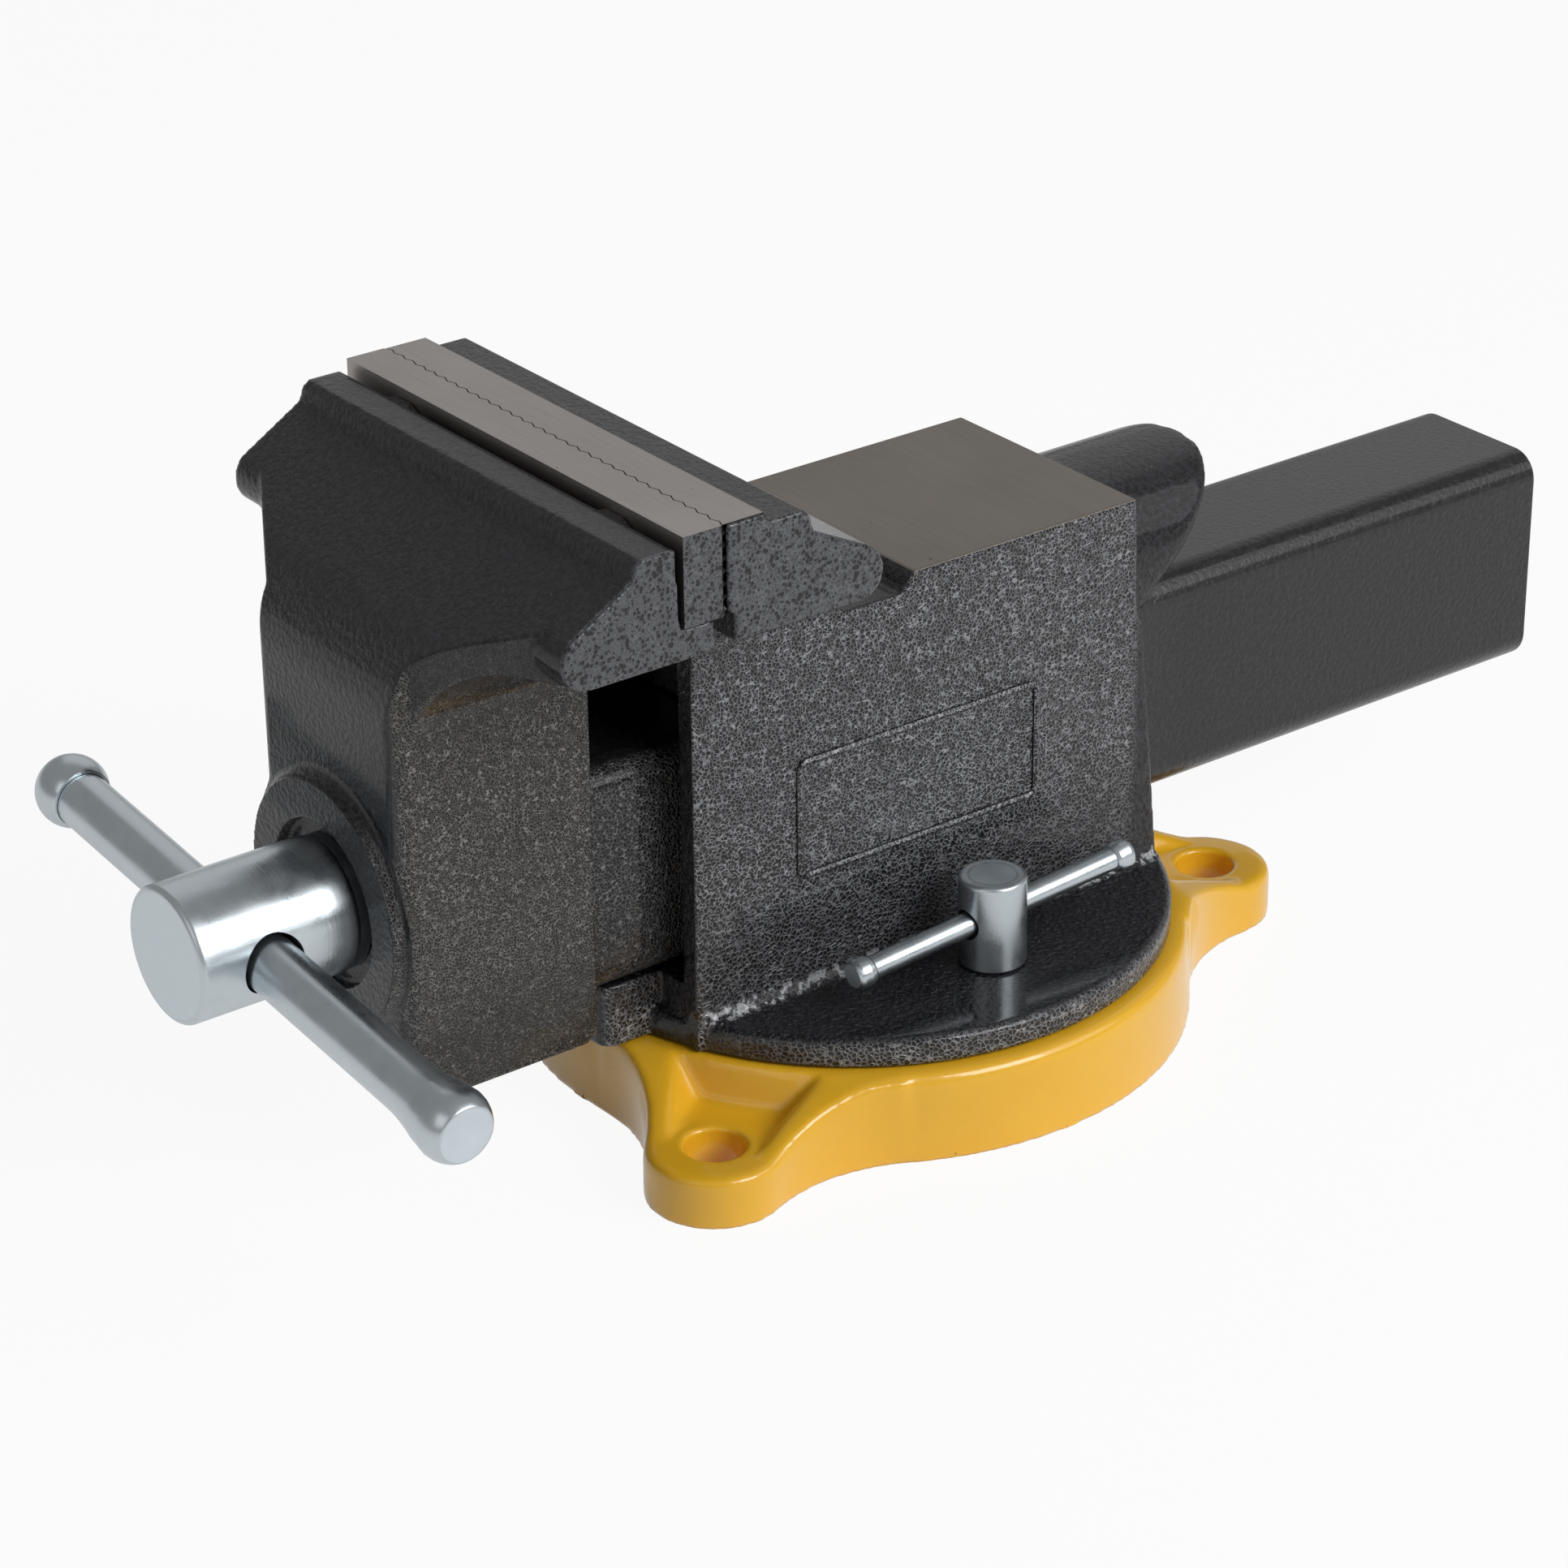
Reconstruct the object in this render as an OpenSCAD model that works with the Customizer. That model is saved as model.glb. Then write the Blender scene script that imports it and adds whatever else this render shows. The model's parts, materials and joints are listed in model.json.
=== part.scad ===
// Bench vise with a swivel base. Millimetres, +Z up. The origin is on the swivel axis at bench level,
// +Y runs from the operator to the free end of the slide beam, +X is the operator's right.

/* [Jaws] */
// Width of both jaws
jaw_w = 127; // [110:1:140]
// Top of the jaw plates above the bench
jaw_top = 165; // [162:1:172]
// Distance of the closed jaw faces in front of the swivel axis
seam = 82.5; // [82.5:0.5:86]
// Thickness of a jaw plate, teeth included
plate_t = 10.2; // [9.5:0.1:11]
// Height of a jaw plate
plate_h = 20.5; // [18:0.5:22]
// Number of teeth along a jaw plate
tooth_count = 30; // [20:1:40]
// Depth of the teeth
tooth_depth = 0.8; // [0.4:0.1:1.2]
// How far the jaws open
travel = 127; // [80:1:127]

/* [Castings] */
// Width of the fixed body and of its anvil
body_w = 64.4; // [62:0.2:70]
// Height of the anvil face above the bench
anvil_z = 123; // [120:1:128]
// Width of the moving jaw below its flare
neck_w = 54.6; // [53:0.2:60]
// Distance from the closed jaw faces to the front of the moving jaw
front_u = 59.5; // [56:0.5:64]
// How far the boss for the screw stands out from the moving jaw
boss_h = 3; // [2:0.5:5]

/* [Slide beam] */
// Width of the beam
beam_w = 42; // [42:0.2:43]
// Height of the beam
beam_h = 56; // [55:0.5:56]
// Wall thickness of the beam
beam_wall = 5; // [4:0.5:5]
// Outer corner radius of the beam
beam_r = 7; // [4:0.5:8]
// Free end of the beam behind the swivel axis
beam_end = 200; // [190:1:230]

/* [Screw and handle] */
// Height of the screw axis above the bench
screw_z = 71.5; // [70:0.5:72]
// Radius of the screw
screw_r = 11; // [9:0.5:11]
// Radius of the screw head
head_r = 15.6; // [15:0.1:17]
// Front face of the screw head, forward of the swivel axis
head_front = 184; // [180:1:195]
// Radius of the handle rod
rod_r = 6.4; // [5.5:0.1:6.5]
// Radius of the handle ends
knob_r = 8.4; // [8:0.1:9.5]
// Length of the handle over both ends
handle_l = 163; // [140:0.5:180]
// How far the handle stands off centre, towards the right
handle_shift = 6.5; // [-20:0.5:20]
// Slope of the handle at rest, right end low, in degrees
handle_tilt = 5.7; // [0:0.1:20]

/* [Swivel base] */
// Radius of the swivel plate under the body
swivel_r = 75; // [72:0.5:76]
// Thickness of the swivel plate
swivel_t = 7; // [6:0.5:8]
// Outer radius of the base at bench level
base_r = 80; // [78:0.5:82]
// Height of the base
base_h = 21.5; // [21:0.5:22]
// Radius of the circle through the bench bolt holes
lug_pcr = 96; // [92:0.5:100]
// Radius of a lug's outer end
lug_r = 16; // [14:0.5:18]
// Height of a lug round its hole
lug_h = 12.2; // [10:0.2:14]
// Radius of a bench bolt hole
lug_hole_r = 7; // [5:0.5:8]
// Direction of the first lug, in degrees from +X
lug_a = -56.5; // [-60:0.5:-50]

/* [Lock bolts] */
// Distance of a lock bolt to the side of the swivel axis
lock_x = 48.4; // [47.6:0.2:50]
// Distance of the lock bolts behind the swivel axis
lock_y = 2.5; // [-4:0.5:6]
// Radius of a lock bolt's head
lock_head_r = 7.9; // [7.5:0.1:8.5]
// Height of a lock bolt's head
lock_head_h = 21.8; // [18:0.2:24]
// Length of a lock bar over both ends
lock_bar_l = 81; // [60:1:84]
// Slope of a lock bar in its loose hole, front end low, in degrees
lock_bar_tilt = 4; // [0:0.5:5]
// Radius of a lock bar
lock_rod_r = 2.75; // [2.25:0.05:3]

/* [Hidden] */
$fn = 64;
eps = 0.5;          // overshoot of a cut past the face it opens
seat = 0.3;         // gap between a piece and the seat that holds it
plate_fit = 0.05;   // gap between a jaw plate and the machined faces that it is screwed to
slide_fit = 0.3;    // clearance of the beam in its tunnel
run_fit = 0.05;     // radial clearance of a turning or threaded fit
bolt_fit = 0.4;     // radial clearance of a bolt in a plain hole
cap_fit = 0.12;     // radial clearance of a cap on its rod

// heights of the stack: base, swivel plate, floor of the body, beam
swivel_z = base_h + seat;
swivel_top = swivel_z + swivel_t;
beam_z = 37.5;
floor_z = beam_z - slide_fit;

// jaw heads, in distance u from the closing plane and height z
face_gap = 0.15;                       // each jaw face stands this far off the closing plane
seat_z = jaw_top - plate_h - plate_fit;
wall_u = face_gap + plate_t + plate_fit;
ledge_z = jaw_top - 2.4;
ledge_u = wall_u + 10.4;
step_u = ledge_u + 2.6;
lip_u = 2.9;                           // where the shelf under a plate starts
nose_r = 6.5;
nose_z = jaw_top - 21;
wing_z = nose_z - nose_r;
flare_r = 22;                          // radius of the hollow under a jaw's wings
moving_nose_u = wall_u + 24;
moving_step_z = ledge_z - 4.4;
moving_gap = 2;                        // groove behind the top of the moving plate; half as wide at its foot
fixed_nose_u = wall_u + 25;
fixed_step_z = ledge_z - 5.4;
jaw_screw_x = 40;
jaw_screw_z = jaw_top - plate_h / 2;
jaw_screw_r = 4;
jaw_screw_head_r = 6.5;

// fixed body: front edge of its side walls, inside of the mouth, valley and anvil
mouth_y = 13.5 - seam;
mouth_w = 53.2;
mouth_end = mouth_y + 17;
mouth_top_z = anvil_z - 3.8;
valley_z = anvil_z - 4.5;
anvil_y = -7.5;
anvil_back = 57.6;
column_back = 66.5;

// horn behind the anvil
horn_r = 21;
horn_shift = 3.5;
horn_z = anvil_z - 24;
horn_end = 78.5;

// screw stack, in distance in front of the swivel axis
face_y = seam + front_u;
boss_y = face_y + boss_h;
boss_r = 28.3;
boss_fillet = 3;
cup_r = 19.2;                          // recess in the boss that takes the thrust washer
washer_r = head_r - 0.4;
washer_t = 2.5;
shoulder_y = face_y + washer_t + 2 * seat;
hole_y = head_front - 17.5;
beam_socket = 45.5;                    // how deep the beam sits in the moving jaw
beam_front = seam + beam_socket;
beam_bolt_r = 3.5;
beam_bolt_head_r = 5.6;
beam_bolt_bore_r = 6;
beam_bolt_z = 35;                      // seat of the bolt heads
beam_bolt_ys = [9 - beam_front, 25 - beam_front];
collar_back = 13;
collar_y = beam_front - collar_back;
collar_l = 9.5;
collar_r = 15;
collar_pin_r = 2;
spring_wire_r = 1.2;
spring_r = 13.2;
screw_tail = 120;

// nut and its post
nut_front = 62;
nut_l = 36;
nut_y = nut_front - nut_l / 2;
post_w = 15;
nut_bolt_r = 5;
nut_bolt_head_r = 8;
nut_bolt_bore_r = 9.4;
nut_bolt_deep = 7;                     // depth of the bore for the bolt's head
nut_bolt_l = 21;

// handle: its loose hole, how low it rests in there, and its ends, measured along the handle
handle_hole_r = rod_r + 0.9;
handle_drop = 0.5;
knob_face_r = rod_r + 0.2;
knob_flat = sqrt(knob_r * knob_r - knob_face_r * knob_face_r);
near_x = handle_shift + handle_l / 2 - knob_flat;
far_x = handle_shift - handle_l / 2 + knob_flat;

// pivot of the swivel, lock bolts and the ring slot that their nuts run in
pivot_r = 14;
pivot_bolt_r = 6;
pivot_head_r = 10.4;
pivot_head_z = 1;
pivot_thread = 9;                      // how far the pivot's tapped hole reaches into the body
hub_z = 10;                            // ceiling of the room for the pivot washer
hub_r = 23;
pivot_washer_r = 21;
pivot_washer_t = 2.5;
pivot_washer_z = hub_z - seat - pivot_washer_t;
lock_r = 5;
lock_bar_z = swivel_top + 0.55 * lock_head_h;
lock_hole_r = lock_rod_r + 0.9;
lock_knob_l = 5;
lock_knob_r = lock_rod_r + 0.95;
slot_mid_r = norm([lock_x, lock_y]);
slot_half = lock_r + 0.8;
slot_deep_half = 10;
slot_floor_z = 4.5;
slot_lip_z = base_h - 8;
gate_w = 26;
clamp_nut_t = 8;
clamp_nut_w = 24;

// directions of the three lugs: two at the front, one alone at the back
lug_angles = [lug_a, lug_a + 135, lug_a - 90];

steel = [0.66, 0.70, 0.73];
black = [0.20, 0.20, 0.21];
ground = [0.50, 0.49, 0.47];
yellow = [0.89, 0.66, 0.17];

// ---- shared shapes ----

// Extrudes a (y, z) outline along X, centred on the swivel axis
module along_x(w) { rotate([90, 0, 90]) linear_extrude(w, center = true) children(); }

// Extrudes an (x, z) outline along Y from y0 to y1
module along_y(y0, y1) { translate([0, y1, 0]) rotate([90, 0, 0]) linear_extrude(y1 - y0) children(); }

// A cylinder on the screw axis between y0 and y1
module rod_y(r, y0, y1) { translate([0, y0, screw_z]) rotate([-90, 0, 0]) cylinder(r = r, h = y1 - y0); }

module rounded_rect(w, h, r) {
    square([w - 2 * r, h], center = true);
    square([w, h - 2 * r], center = true);
    for (x = [-1, 1], y = [-1, 1]) translate([x * (w / 2 - r), y * (h / 2 - r)]) circle(r);
}

module beam_section(grow = 0) {
    translate([0, beam_z + beam_h / 2]) rounded_rect(beam_w + 2 * grow, beam_h + 2 * grow, beam_r);
}

// ---- jaws ----

// Turns shapes drawn in u, the distance from the closed jaw faces, into the moving (-1) or fixed (1) jaw
module jaw_side(dir) { translate([0, -seam, 0]) mirror([0, dir < 0 ? 1 : 0, 0]) children(); }

// Angle of the slope from the step down to the nose, so that the line meets the nose without a corner
function slope_a(nose_u, step_z) =
    let (d = [nose_u - step_u, step_z - nose_z])
    atan2(d[1], d[0]) - asin(nose_r / norm(d));

// Cross section of a jaw head, (u, z): shelf under the plate, back wall, ledge, step, slope and round nose;
// gap is the width of the groove between the plate and the top of the wall
module head_section(nose_u, step_z, gap) {
    slope = slope_a(nose_u, step_z);
    polygon([
        [lip_u, wing_z], [lip_u, seat_z], [wall_u + gap / 2, seat_z], [wall_u + gap, ledge_z],
        [ledge_u, ledge_z], [ledge_u + 1.6, ledge_z - 1.4], [step_u, step_z],
        [nose_u + nose_r * sin(slope), nose_z + nose_r * cos(slope)], [nose_u, nose_z], [nose_u, wing_z]
    ]);
    translate([nose_u, nose_z]) circle(nose_r);
}

// Front view, (x, z), of a jaw with wings that curve down into a neck of width w
module flare_front(w, z0) {
    difference() {
        translate([-jaw_w / 2, z0]) square([jaw_w, jaw_top - z0]);
        for (s = [-1, 1]) scale([s, 1]) {
            translate([w / 2, z0 - eps]) square([jaw_w, wing_z - flare_r - z0 + eps]);
            translate([w / 2 + flare_r, z0 - eps]) square([jaw_w, wing_z - z0 + eps]);
            translate([w / 2 + flare_r, wing_z - flare_r]) circle(flare_r);
        }
    }
}

// Repeats a shape drawn along +Z from the closing plane at both screws of a jaw
module at_jaw_screws() {
    for (s = [-1, 1]) translate([s * jaw_screw_x, 0, jaw_screw_z]) rotate([-90, 0, 0]) children();
}

// Jaw plate: teeth on both sides of the closing plane, those of one jaw in the valleys of the other
module jaw_plate(dir) {
    pitch = jaw_w / tooth_count;
    teeth = [for (i = [0:2 * tooth_count])
        [-jaw_w / 2 + i * pitch / 2, face_gap + dir * tooth_depth * (i % 2 - 0.5)]];
    color(ground) jaw_side(dir) difference() {
        translate([0, 0, jaw_top - plate_h]) linear_extrude(plate_h)
            polygon(concat(teeth, [[jaw_w / 2, face_gap + plate_t], [-jaw_w / 2, face_gap + plate_t]]));
        at_jaw_screws() {
            translate([0, 0, -eps]) cylinder(r = jaw_screw_r + bolt_fit, h = plate_t + 2);
            translate([0, 0, -2]) cylinder(r = jaw_screw_head_r + bolt_fit, h = 7.5);
        }
    }
}

// Socket screws, sunk into the plate
module jaw_screws(dir) {
    head_u = 1;
    head_h = 4.2;
    color(steel) jaw_side(dir) at_jaw_screws() difference() {
        union() {
            translate([0, 0, head_u]) cylinder(r = jaw_screw_head_r, h = head_h);
            translate([0, 0, head_u + head_h - 0.1]) cylinder(r = jaw_screw_r, h = wall_u + 4);
        }
        translate([0, 0, head_u - eps]) cylinder(r = 3, h = 3, $fn = 6);
    }
}

// Tapped holes in a jaw
module jaw_screw_holes() { at_jaw_screws() cylinder(r = jaw_screw_r + run_fit, h = wall_u + 10); }

// ---- swivel base ----

// Plan of a lug: round end, and flanks that sweep into the disc along arcs of radius web_r
module lug_plan() {
    web_r = 40;
    a = base_r + web_r;
    b = lug_r + web_r;
    turn = acos((a * a + lug_pcr * lug_pcr - b * b) / (2 * a * lug_pcr));
    translate([lug_pcr, 0]) circle(lug_r);
    for (s = [-1, 1]) scale([1, s]) difference() {
        polygon([[0, 0], [lug_pcr, 0], a * [cos(turn), sin(turn)]]);
        translate(a * [cos(turn), sin(turn)]) circle(web_r);
    }
}

// Lug whose flanks fall from the height of the disc to that of the pad round its hole
module lug() {
    difference() {
        linear_extrude(base_h - 0.5) lug_plan();
        along_y(-2 * lug_r, 2 * lug_r) polygon([
            [base_r - 6, base_h], [lug_pcr + 3, lug_h], [lug_pcr + 2 * lug_r, lug_h],
            [lug_pcr + 2 * lug_r, base_h + eps], [base_r - 6, base_h + eps]
        ]);
    }
}

// Pocket down to the pad: sloping sides, a back wall that follows the disc, open towards the end of the lug
module lug_pocket() {
    deep = base_h + eps - lug_h;
    foot = 10.3;
    lean = 0.8;
    translate([0, 0, lug_h]) difference() {
        rotate([90, 0, 90]) linear_extrude(lug_pcr + lug_r)
            polygon([[-foot, 0], [foot, 0], [foot + lean * deep, deep], [-foot - lean * deep, deep]]);
        translate([0, 0, -eps]) cylinder(r1 = base_r, r2 = base_r - 4, h = deep + 2 * eps);
    }
}

// Gate at the back of the ring slot, where the clamp nuts are put in before the body covers it
module slot_gate() {
    gate_half = slot_deep_half - 0.2;
    intersection() {
        rotate_extrude($fn = 128) translate([slot_mid_r - gate_half, slot_lip_z - eps])
            square([2 * gate_half, base_h]);
        translate([-gate_w / 2, 0, 0]) cube([gate_w, base_r, 2 * base_h]);
    }
}

module swivel_base() {
    color(yellow) difference() {
        union() {
            rotate_extrude($fn = 128) polygon([
                [0, 0], [base_r, 0], [base_r - 0.8, base_h - 1.5], [base_r - 2.3, base_h], [0, base_h]
            ]);
            for (a = lug_angles) rotate(a) lug();
        }
        for (a = lug_angles) rotate(a) {
            lug_pocket();
            translate([lug_pcr, 0, -eps]) cylinder(r = lug_hole_r, h = base_h + 2 * eps);
        }
        slot_gate();
        rotate_extrude($fn = 128) {
            // ring slot for the lock bolts, wide below for their nuts
            translate([slot_mid_r - slot_half, slot_floor_z]) square([2 * slot_half, base_h]);
            translate([slot_mid_r - slot_deep_half, slot_floor_z])
                square([2 * slot_deep_half, slot_lip_z - slot_floor_z]);
            // bearing bore for the body's spigot, and room below for the washer
            translate([0, -eps]) square([pivot_r + run_fit, base_h + 2 * eps]);
            translate([0, -eps]) square([hub_r, hub_z + eps]);
            // hollow behind the outer wall
            translate([slot_mid_r + slot_deep_half + 4, -eps]) square([8, slot_lip_z + eps]);
        }
    }
}

// ---- fixed body and what is bolted to it ----

// Head of the fixed jaw, its wings curving down into the column
module fixed_head() {
    root_z = wing_z - 2 * flare_r;
    jaw_side(1) intersection() {
        along_x(jaw_w) {
            head_section(fixed_nose_u, fixed_step_z, 0);
            translate([mouth_y + seam, root_z])
                square([fixed_nose_u - mouth_y - seam - 4, wing_z - root_z + 1]);
        }
        along_y(0, 60) flare_front(body_w, root_z);
    }
}

// Side view of the column: neck under the jaw, valley, anvil, sloping back
module column_side() {
    polygon([
        [mouth_y, swivel_z], [mouth_y, wing_z - 14], [mouth_y - 7, wing_z], [fixed_nose_u - seam, wing_z],
        [anvil_y - 19.5, valley_z], [anvil_y - 3.5, valley_z], [anvil_y, anvil_z], [anvil_back, anvil_z],
        [column_back, swivel_top + 1], [column_back + 1, swivel_top], [column_back + 1, swivel_z]
    ]);
}

// Round horn behind the anvil, its end cut at 45 degrees and leaning back towards the beam
module horn() {
    intersection() {
        along_y(anvil_y, horn_end + horn_r) translate([0, horn_z]) {
            square([2 * horn_shift, 2 * horn_r], center = true);
            for (s = [-1, 1]) translate([s * horn_shift, 0]) circle(horn_r);
        }
        along_x(body_w) polygon([
            [anvil_y, horn_z - horn_r], [horn_end - horn_r, horn_z - horn_r],
            [horn_end + horn_r, horn_z + horn_r], [anvil_y, horn_z + horn_r]
        ]);
    }
}

// Low raised frame on each side of the column
module panel_frame() {
    frame_w = 1.7;
    frame_h = 1;
    for (s = [-1, 1]) translate([s * body_w / 2, -6, beam_z + 33.8]) rotate([90, 0, 90])
        linear_extrude(2 * frame_h, center = true) difference() {
            rounded_rect(70, 30, 3);
            rounded_rect(70 - 2 * frame_w, 30 - 2 * frame_w, 3 - frame_w);
        }
}

module fixed_body() {
    color(black) difference() {
        union() {
            rotate_extrude($fn = 128) polygon([
                [0, swivel_z], [swivel_r - 0.6, swivel_z], [swivel_r, swivel_z + 1],
                [swivel_r, swivel_top - 1.2], [swivel_r - 1.4, swivel_top], [0, swivel_top]
            ]);
            translate([0, 0, hub_z]) cylinder(r = pivot_r, h = swivel_z - hub_z + 1);
            along_x(body_w) column_side();
            fixed_head();
            horn();
            panel_frame();
            tongue();
            for (s = [0, 1]) mirror([s, 0, 0]) wall_fillet();
        }
        along_y(mouth_y + 3, horn_end + horn_r) beam_section(slide_fit);
        // wide mouth in front of the tunnel
        translate([-mouth_w / 2, -face_y, floor_z])
            cube([mouth_w, mouth_end + face_y, mouth_top_z - floor_z]);
        jaw_side(1) jaw_screw_holes();
        for (s = [-1, 1]) translate([s * lock_x, lock_y, swivel_z - eps])
            cylinder(r = lock_r + bolt_fit, h = swivel_t + 2 * eps);
        translate([0, -nut_y, swivel_z - eps]) cylinder(r = nut_bolt_r + bolt_fit, h = floor_z);
        translate([0, -nut_y, swivel_z - eps]) cylinder(r = nut_bolt_bore_r, h = nut_bolt_deep + eps);
        translate([0, 0, hub_z - eps])
            cylinder(r = pivot_bolt_r + run_fit, h = swivel_z + pivot_thread - hub_z + eps);
    }
}

// Tongue of the floor that carries the beam ahead of the body
module tongue() {
    translate([0, mouth_y - 7, swivel_z]) linear_extrude(floor_z - swivel_z) rounded_rect(37, 18, 4);
}

// Hollow corner between the side wall and the swivel plate
module wall_fillet() {
    r = 3;
    along_y(mouth_y + 7, column_back - 10) difference() {
        translate([body_w / 2 - 1, swivel_top - 1]) square([r + 1, r + 1]);
        translate([body_w / 2 + r, swivel_top + r]) circle(r);
    }
}

module main_nut() {
    inner_w = beam_w - 2 * beam_wall - 1;
    color(steel) difference() {
        union() {
            translate([-inner_w / 2, -nut_front, beam_z + beam_wall + 2])
                cube([inner_w, nut_l, beam_h - 2 * beam_wall - 4]);
            translate([-post_w / 2, -nut_front, floor_z]) cube([post_w, nut_l, 12]);
        }
        rod_y(screw_r + run_fit, -nut_front - eps, -nut_front + nut_l + eps);
        translate([0, -nut_y, floor_z - eps]) cylinder(r = nut_bolt_r + run_fit, h = 14);
    }
}

// Socket screw with its head at the top of a bore, both pointing up from z
module nut_bolt() {
    head_h = nut_bolt_deep - seat - 0.4;
    color(steel) translate([0, -nut_y, swivel_z + 0.4]) {
        translate([0, 0, head_h - 0.1]) cylinder(r = nut_bolt_r, h = nut_bolt_l);
        difference() {
            cylinder(r = nut_bolt_head_r, h = head_h);
            translate([0, 0, -eps]) cylinder(r = nut_bolt_r - 0.4, h = 0.7 * head_h, $fn = 6);
        }
    }
}

module pivot_bolt() {
    color(steel) {
        translate([0, 0, pivot_washer_z - 0.4])
            cylinder(r = pivot_bolt_r, h = swivel_z + pivot_thread / 2 - pivot_washer_z);
        translate([0, 0, pivot_head_z])
            cylinder(r = pivot_head_r, h = pivot_washer_z - pivot_head_z, $fn = 6);
    }
}

module pivot_washer() {
    color(steel) translate([0, 0, pivot_washer_z]) difference() {
        cylinder(r = pivot_washer_r, h = pivot_washer_t);
        translate([0, 0, -eps]) cylinder(r = pivot_bolt_r + bolt_fit, h = pivot_washer_t + 2 * eps);
    }
}

// Two nuts that run in the ring slot of the base, cut to its curve
module clamp_nuts() {
    color(steel) for (s = [-1, 1]) difference() {
        intersection() {
            translate([0, 0, slot_lip_z - seat - clamp_nut_t]) difference() {
                cylinder(r = slot_mid_r + slot_deep_half - 0.5, h = clamp_nut_t, $fn = 128);
                translate([0, 0, -eps])
                    cylinder(r = slot_mid_r - slot_deep_half + 0.5, h = clamp_nut_t + 2 * eps, $fn = 128);
            }
            translate([s * lock_x, lock_y, 0])
                cube([4 * slot_deep_half, clamp_nut_w, 2 * base_h], center = true);
        }
        translate([s * lock_x, lock_y, 0]) cylinder(r = lock_r + run_fit, h = base_h);
    }
}

// ---- moving jaw and what is fixed to it ----

// Side view of the moving jaw below its slope, (u, z): the slope rolls over a brow into the upright front
module moving_side() {
    slope = slope_a(moving_nose_u, moving_step_z);
    brow_r = 25;
    brow_u = front_u - brow_r;
    brow_z = moving_step_z - (brow_r + (brow_u - step_u) * sin(slope)) / cos(slope);
    bottom_z = 31.3;
    toe_r = 5;
    heel_r = 4;
    back_u = 10;
    polygon([
        [lip_u, wing_z], [wall_u + moving_gap, seat_z - eps], [wall_u + moving_gap, moving_step_z],
        [step_u, moving_step_z],
        [brow_u + brow_r * sin(slope), brow_z + brow_r * cos(slope)], [brow_u, brow_z], [front_u, brow_z],
        [front_u, bottom_z + toe_r], [front_u - toe_r, bottom_z], [back_u + heel_r, bottom_z],
        [back_u, bottom_z + heel_r], [back_u, wing_z - 6]
    ]);
    translate([brow_u, brow_z]) circle(brow_r);
    translate([front_u - toe_r, bottom_z + toe_r]) circle(toe_r);
    translate([back_u + heel_r, bottom_z + heel_r]) circle(heel_r);
}

// Plan of the moving jaw, (x, u): wings that sweep forward into the narrow front
module moving_plan() {
    corner = 4;
    for (s = [-1, 1]) scale([s, 1]) {
        polygon([
            [0, 0], [jaw_w / 2, 0], [jaw_w / 2, moving_nose_u], [neck_w / 2, front_u - corner],
            [neck_w / 2 - corner, front_u], [0, front_u]
        ]);
        translate([neck_w / 2 - corner, front_u - corner]) circle(corner);
    }
}

// Boss round the screw, with a hollow corner where it meets the front
module screw_boss() {
    translate([0, -face_y + 0.2, screw_z]) rotate([90, 0, 0]) rotate_extrude($fn = 96) difference() {
        square([boss_r + boss_fillet, boss_h + 0.2]);
        translate([boss_r + boss_fillet, boss_fillet + 0.2]) circle(boss_fillet);
    }
}

// Bosses in the groove behind the moving plate, faced off level with its seat
module plate_pads() {
    jaw_side(-1) intersection() {
        at_jaw_screws() translate([0, 0, wall_u]) cylinder(r = jaw_screw_head_r + 2, h = moving_gap + 1);
        translate([0, 0, seat_z - eps]) linear_extrude(ledge_z - seat_z + eps)
            square([jaw_w, 60], center = true);
    }
}

module moving_jaw() {
    color(black) difference() {
        union() {
            jaw_side(-1) {
                along_x(jaw_w) head_section(moving_nose_u, moving_step_z, moving_gap);
                intersection() {
                    along_x(jaw_w) moving_side();
                    linear_extrude(jaw_top) moving_plan();
                    along_y(0, 80) flare_front(neck_w, 20);
                }
            }
            plate_pads();
            screw_boss();
        }
        rod_y(cup_r, -boss_y - eps, -face_y);
        rod_y(screw_r + bolt_fit, -boss_y, -seam);
        along_y(-beam_front - seat, -seam) beam_section(slide_fit);
        jaw_side(-1) jaw_screw_holes();
        for (y = beam_bolt_ys) translate([0, y, 0]) {
            cylinder(r = beam_bolt_r + bolt_fit, h = beam_z + eps);
            cylinder(r = beam_bolt_bore_r, h = beam_bolt_z);
        }
    }
}

module slide_beam() {
    color(black) difference() {
        along_y(-beam_front, beam_end) difference() {
            beam_section();
            translate([0, beam_z + beam_h / 2])
                rounded_rect(beam_w - 2 * beam_wall, beam_h - 2 * beam_wall, max(beam_r - beam_wall, 1));
        }
        // slot for the nut post
        translate([-post_w / 2 - 0.6, -nut_front - 2, beam_z - eps])
            cube([post_w + 1.2, nut_l + travel + 5, beam_wall + 2 * eps]);
        for (y = beam_bolt_ys) translate([0, y, beam_z - eps])
            cylinder(r = beam_bolt_r + run_fit, h = beam_wall + 2 * eps);
    }
}

module beam_bolts() {
    head_h = 3.2;
    head_z = beam_bolt_z - head_h - 0.2;
    color(steel) for (y = beam_bolt_ys) translate([0, y, 0]) difference() {
        union() {
            translate([0, 0, head_z]) cylinder(r = beam_bolt_head_r, h = head_h);
            translate([0, 0, head_z + head_h - 0.1])
                cylinder(r = beam_bolt_r, h = beam_z + beam_wall - head_z - head_h - 0.1);
        }
        translate([0, 0, head_z - eps]) cylinder(r = beam_bolt_r - 0.9, h = 2 + eps, $fn = 6);
    }
}

module thrust_washer() {
    color(steel) difference() {
        rod_y(washer_r, -face_y - seat - washer_t, -face_y - seat);
        rod_y(screw_r + bolt_fit, -face_y - 10, -face_y + 10);
    }
}

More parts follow.
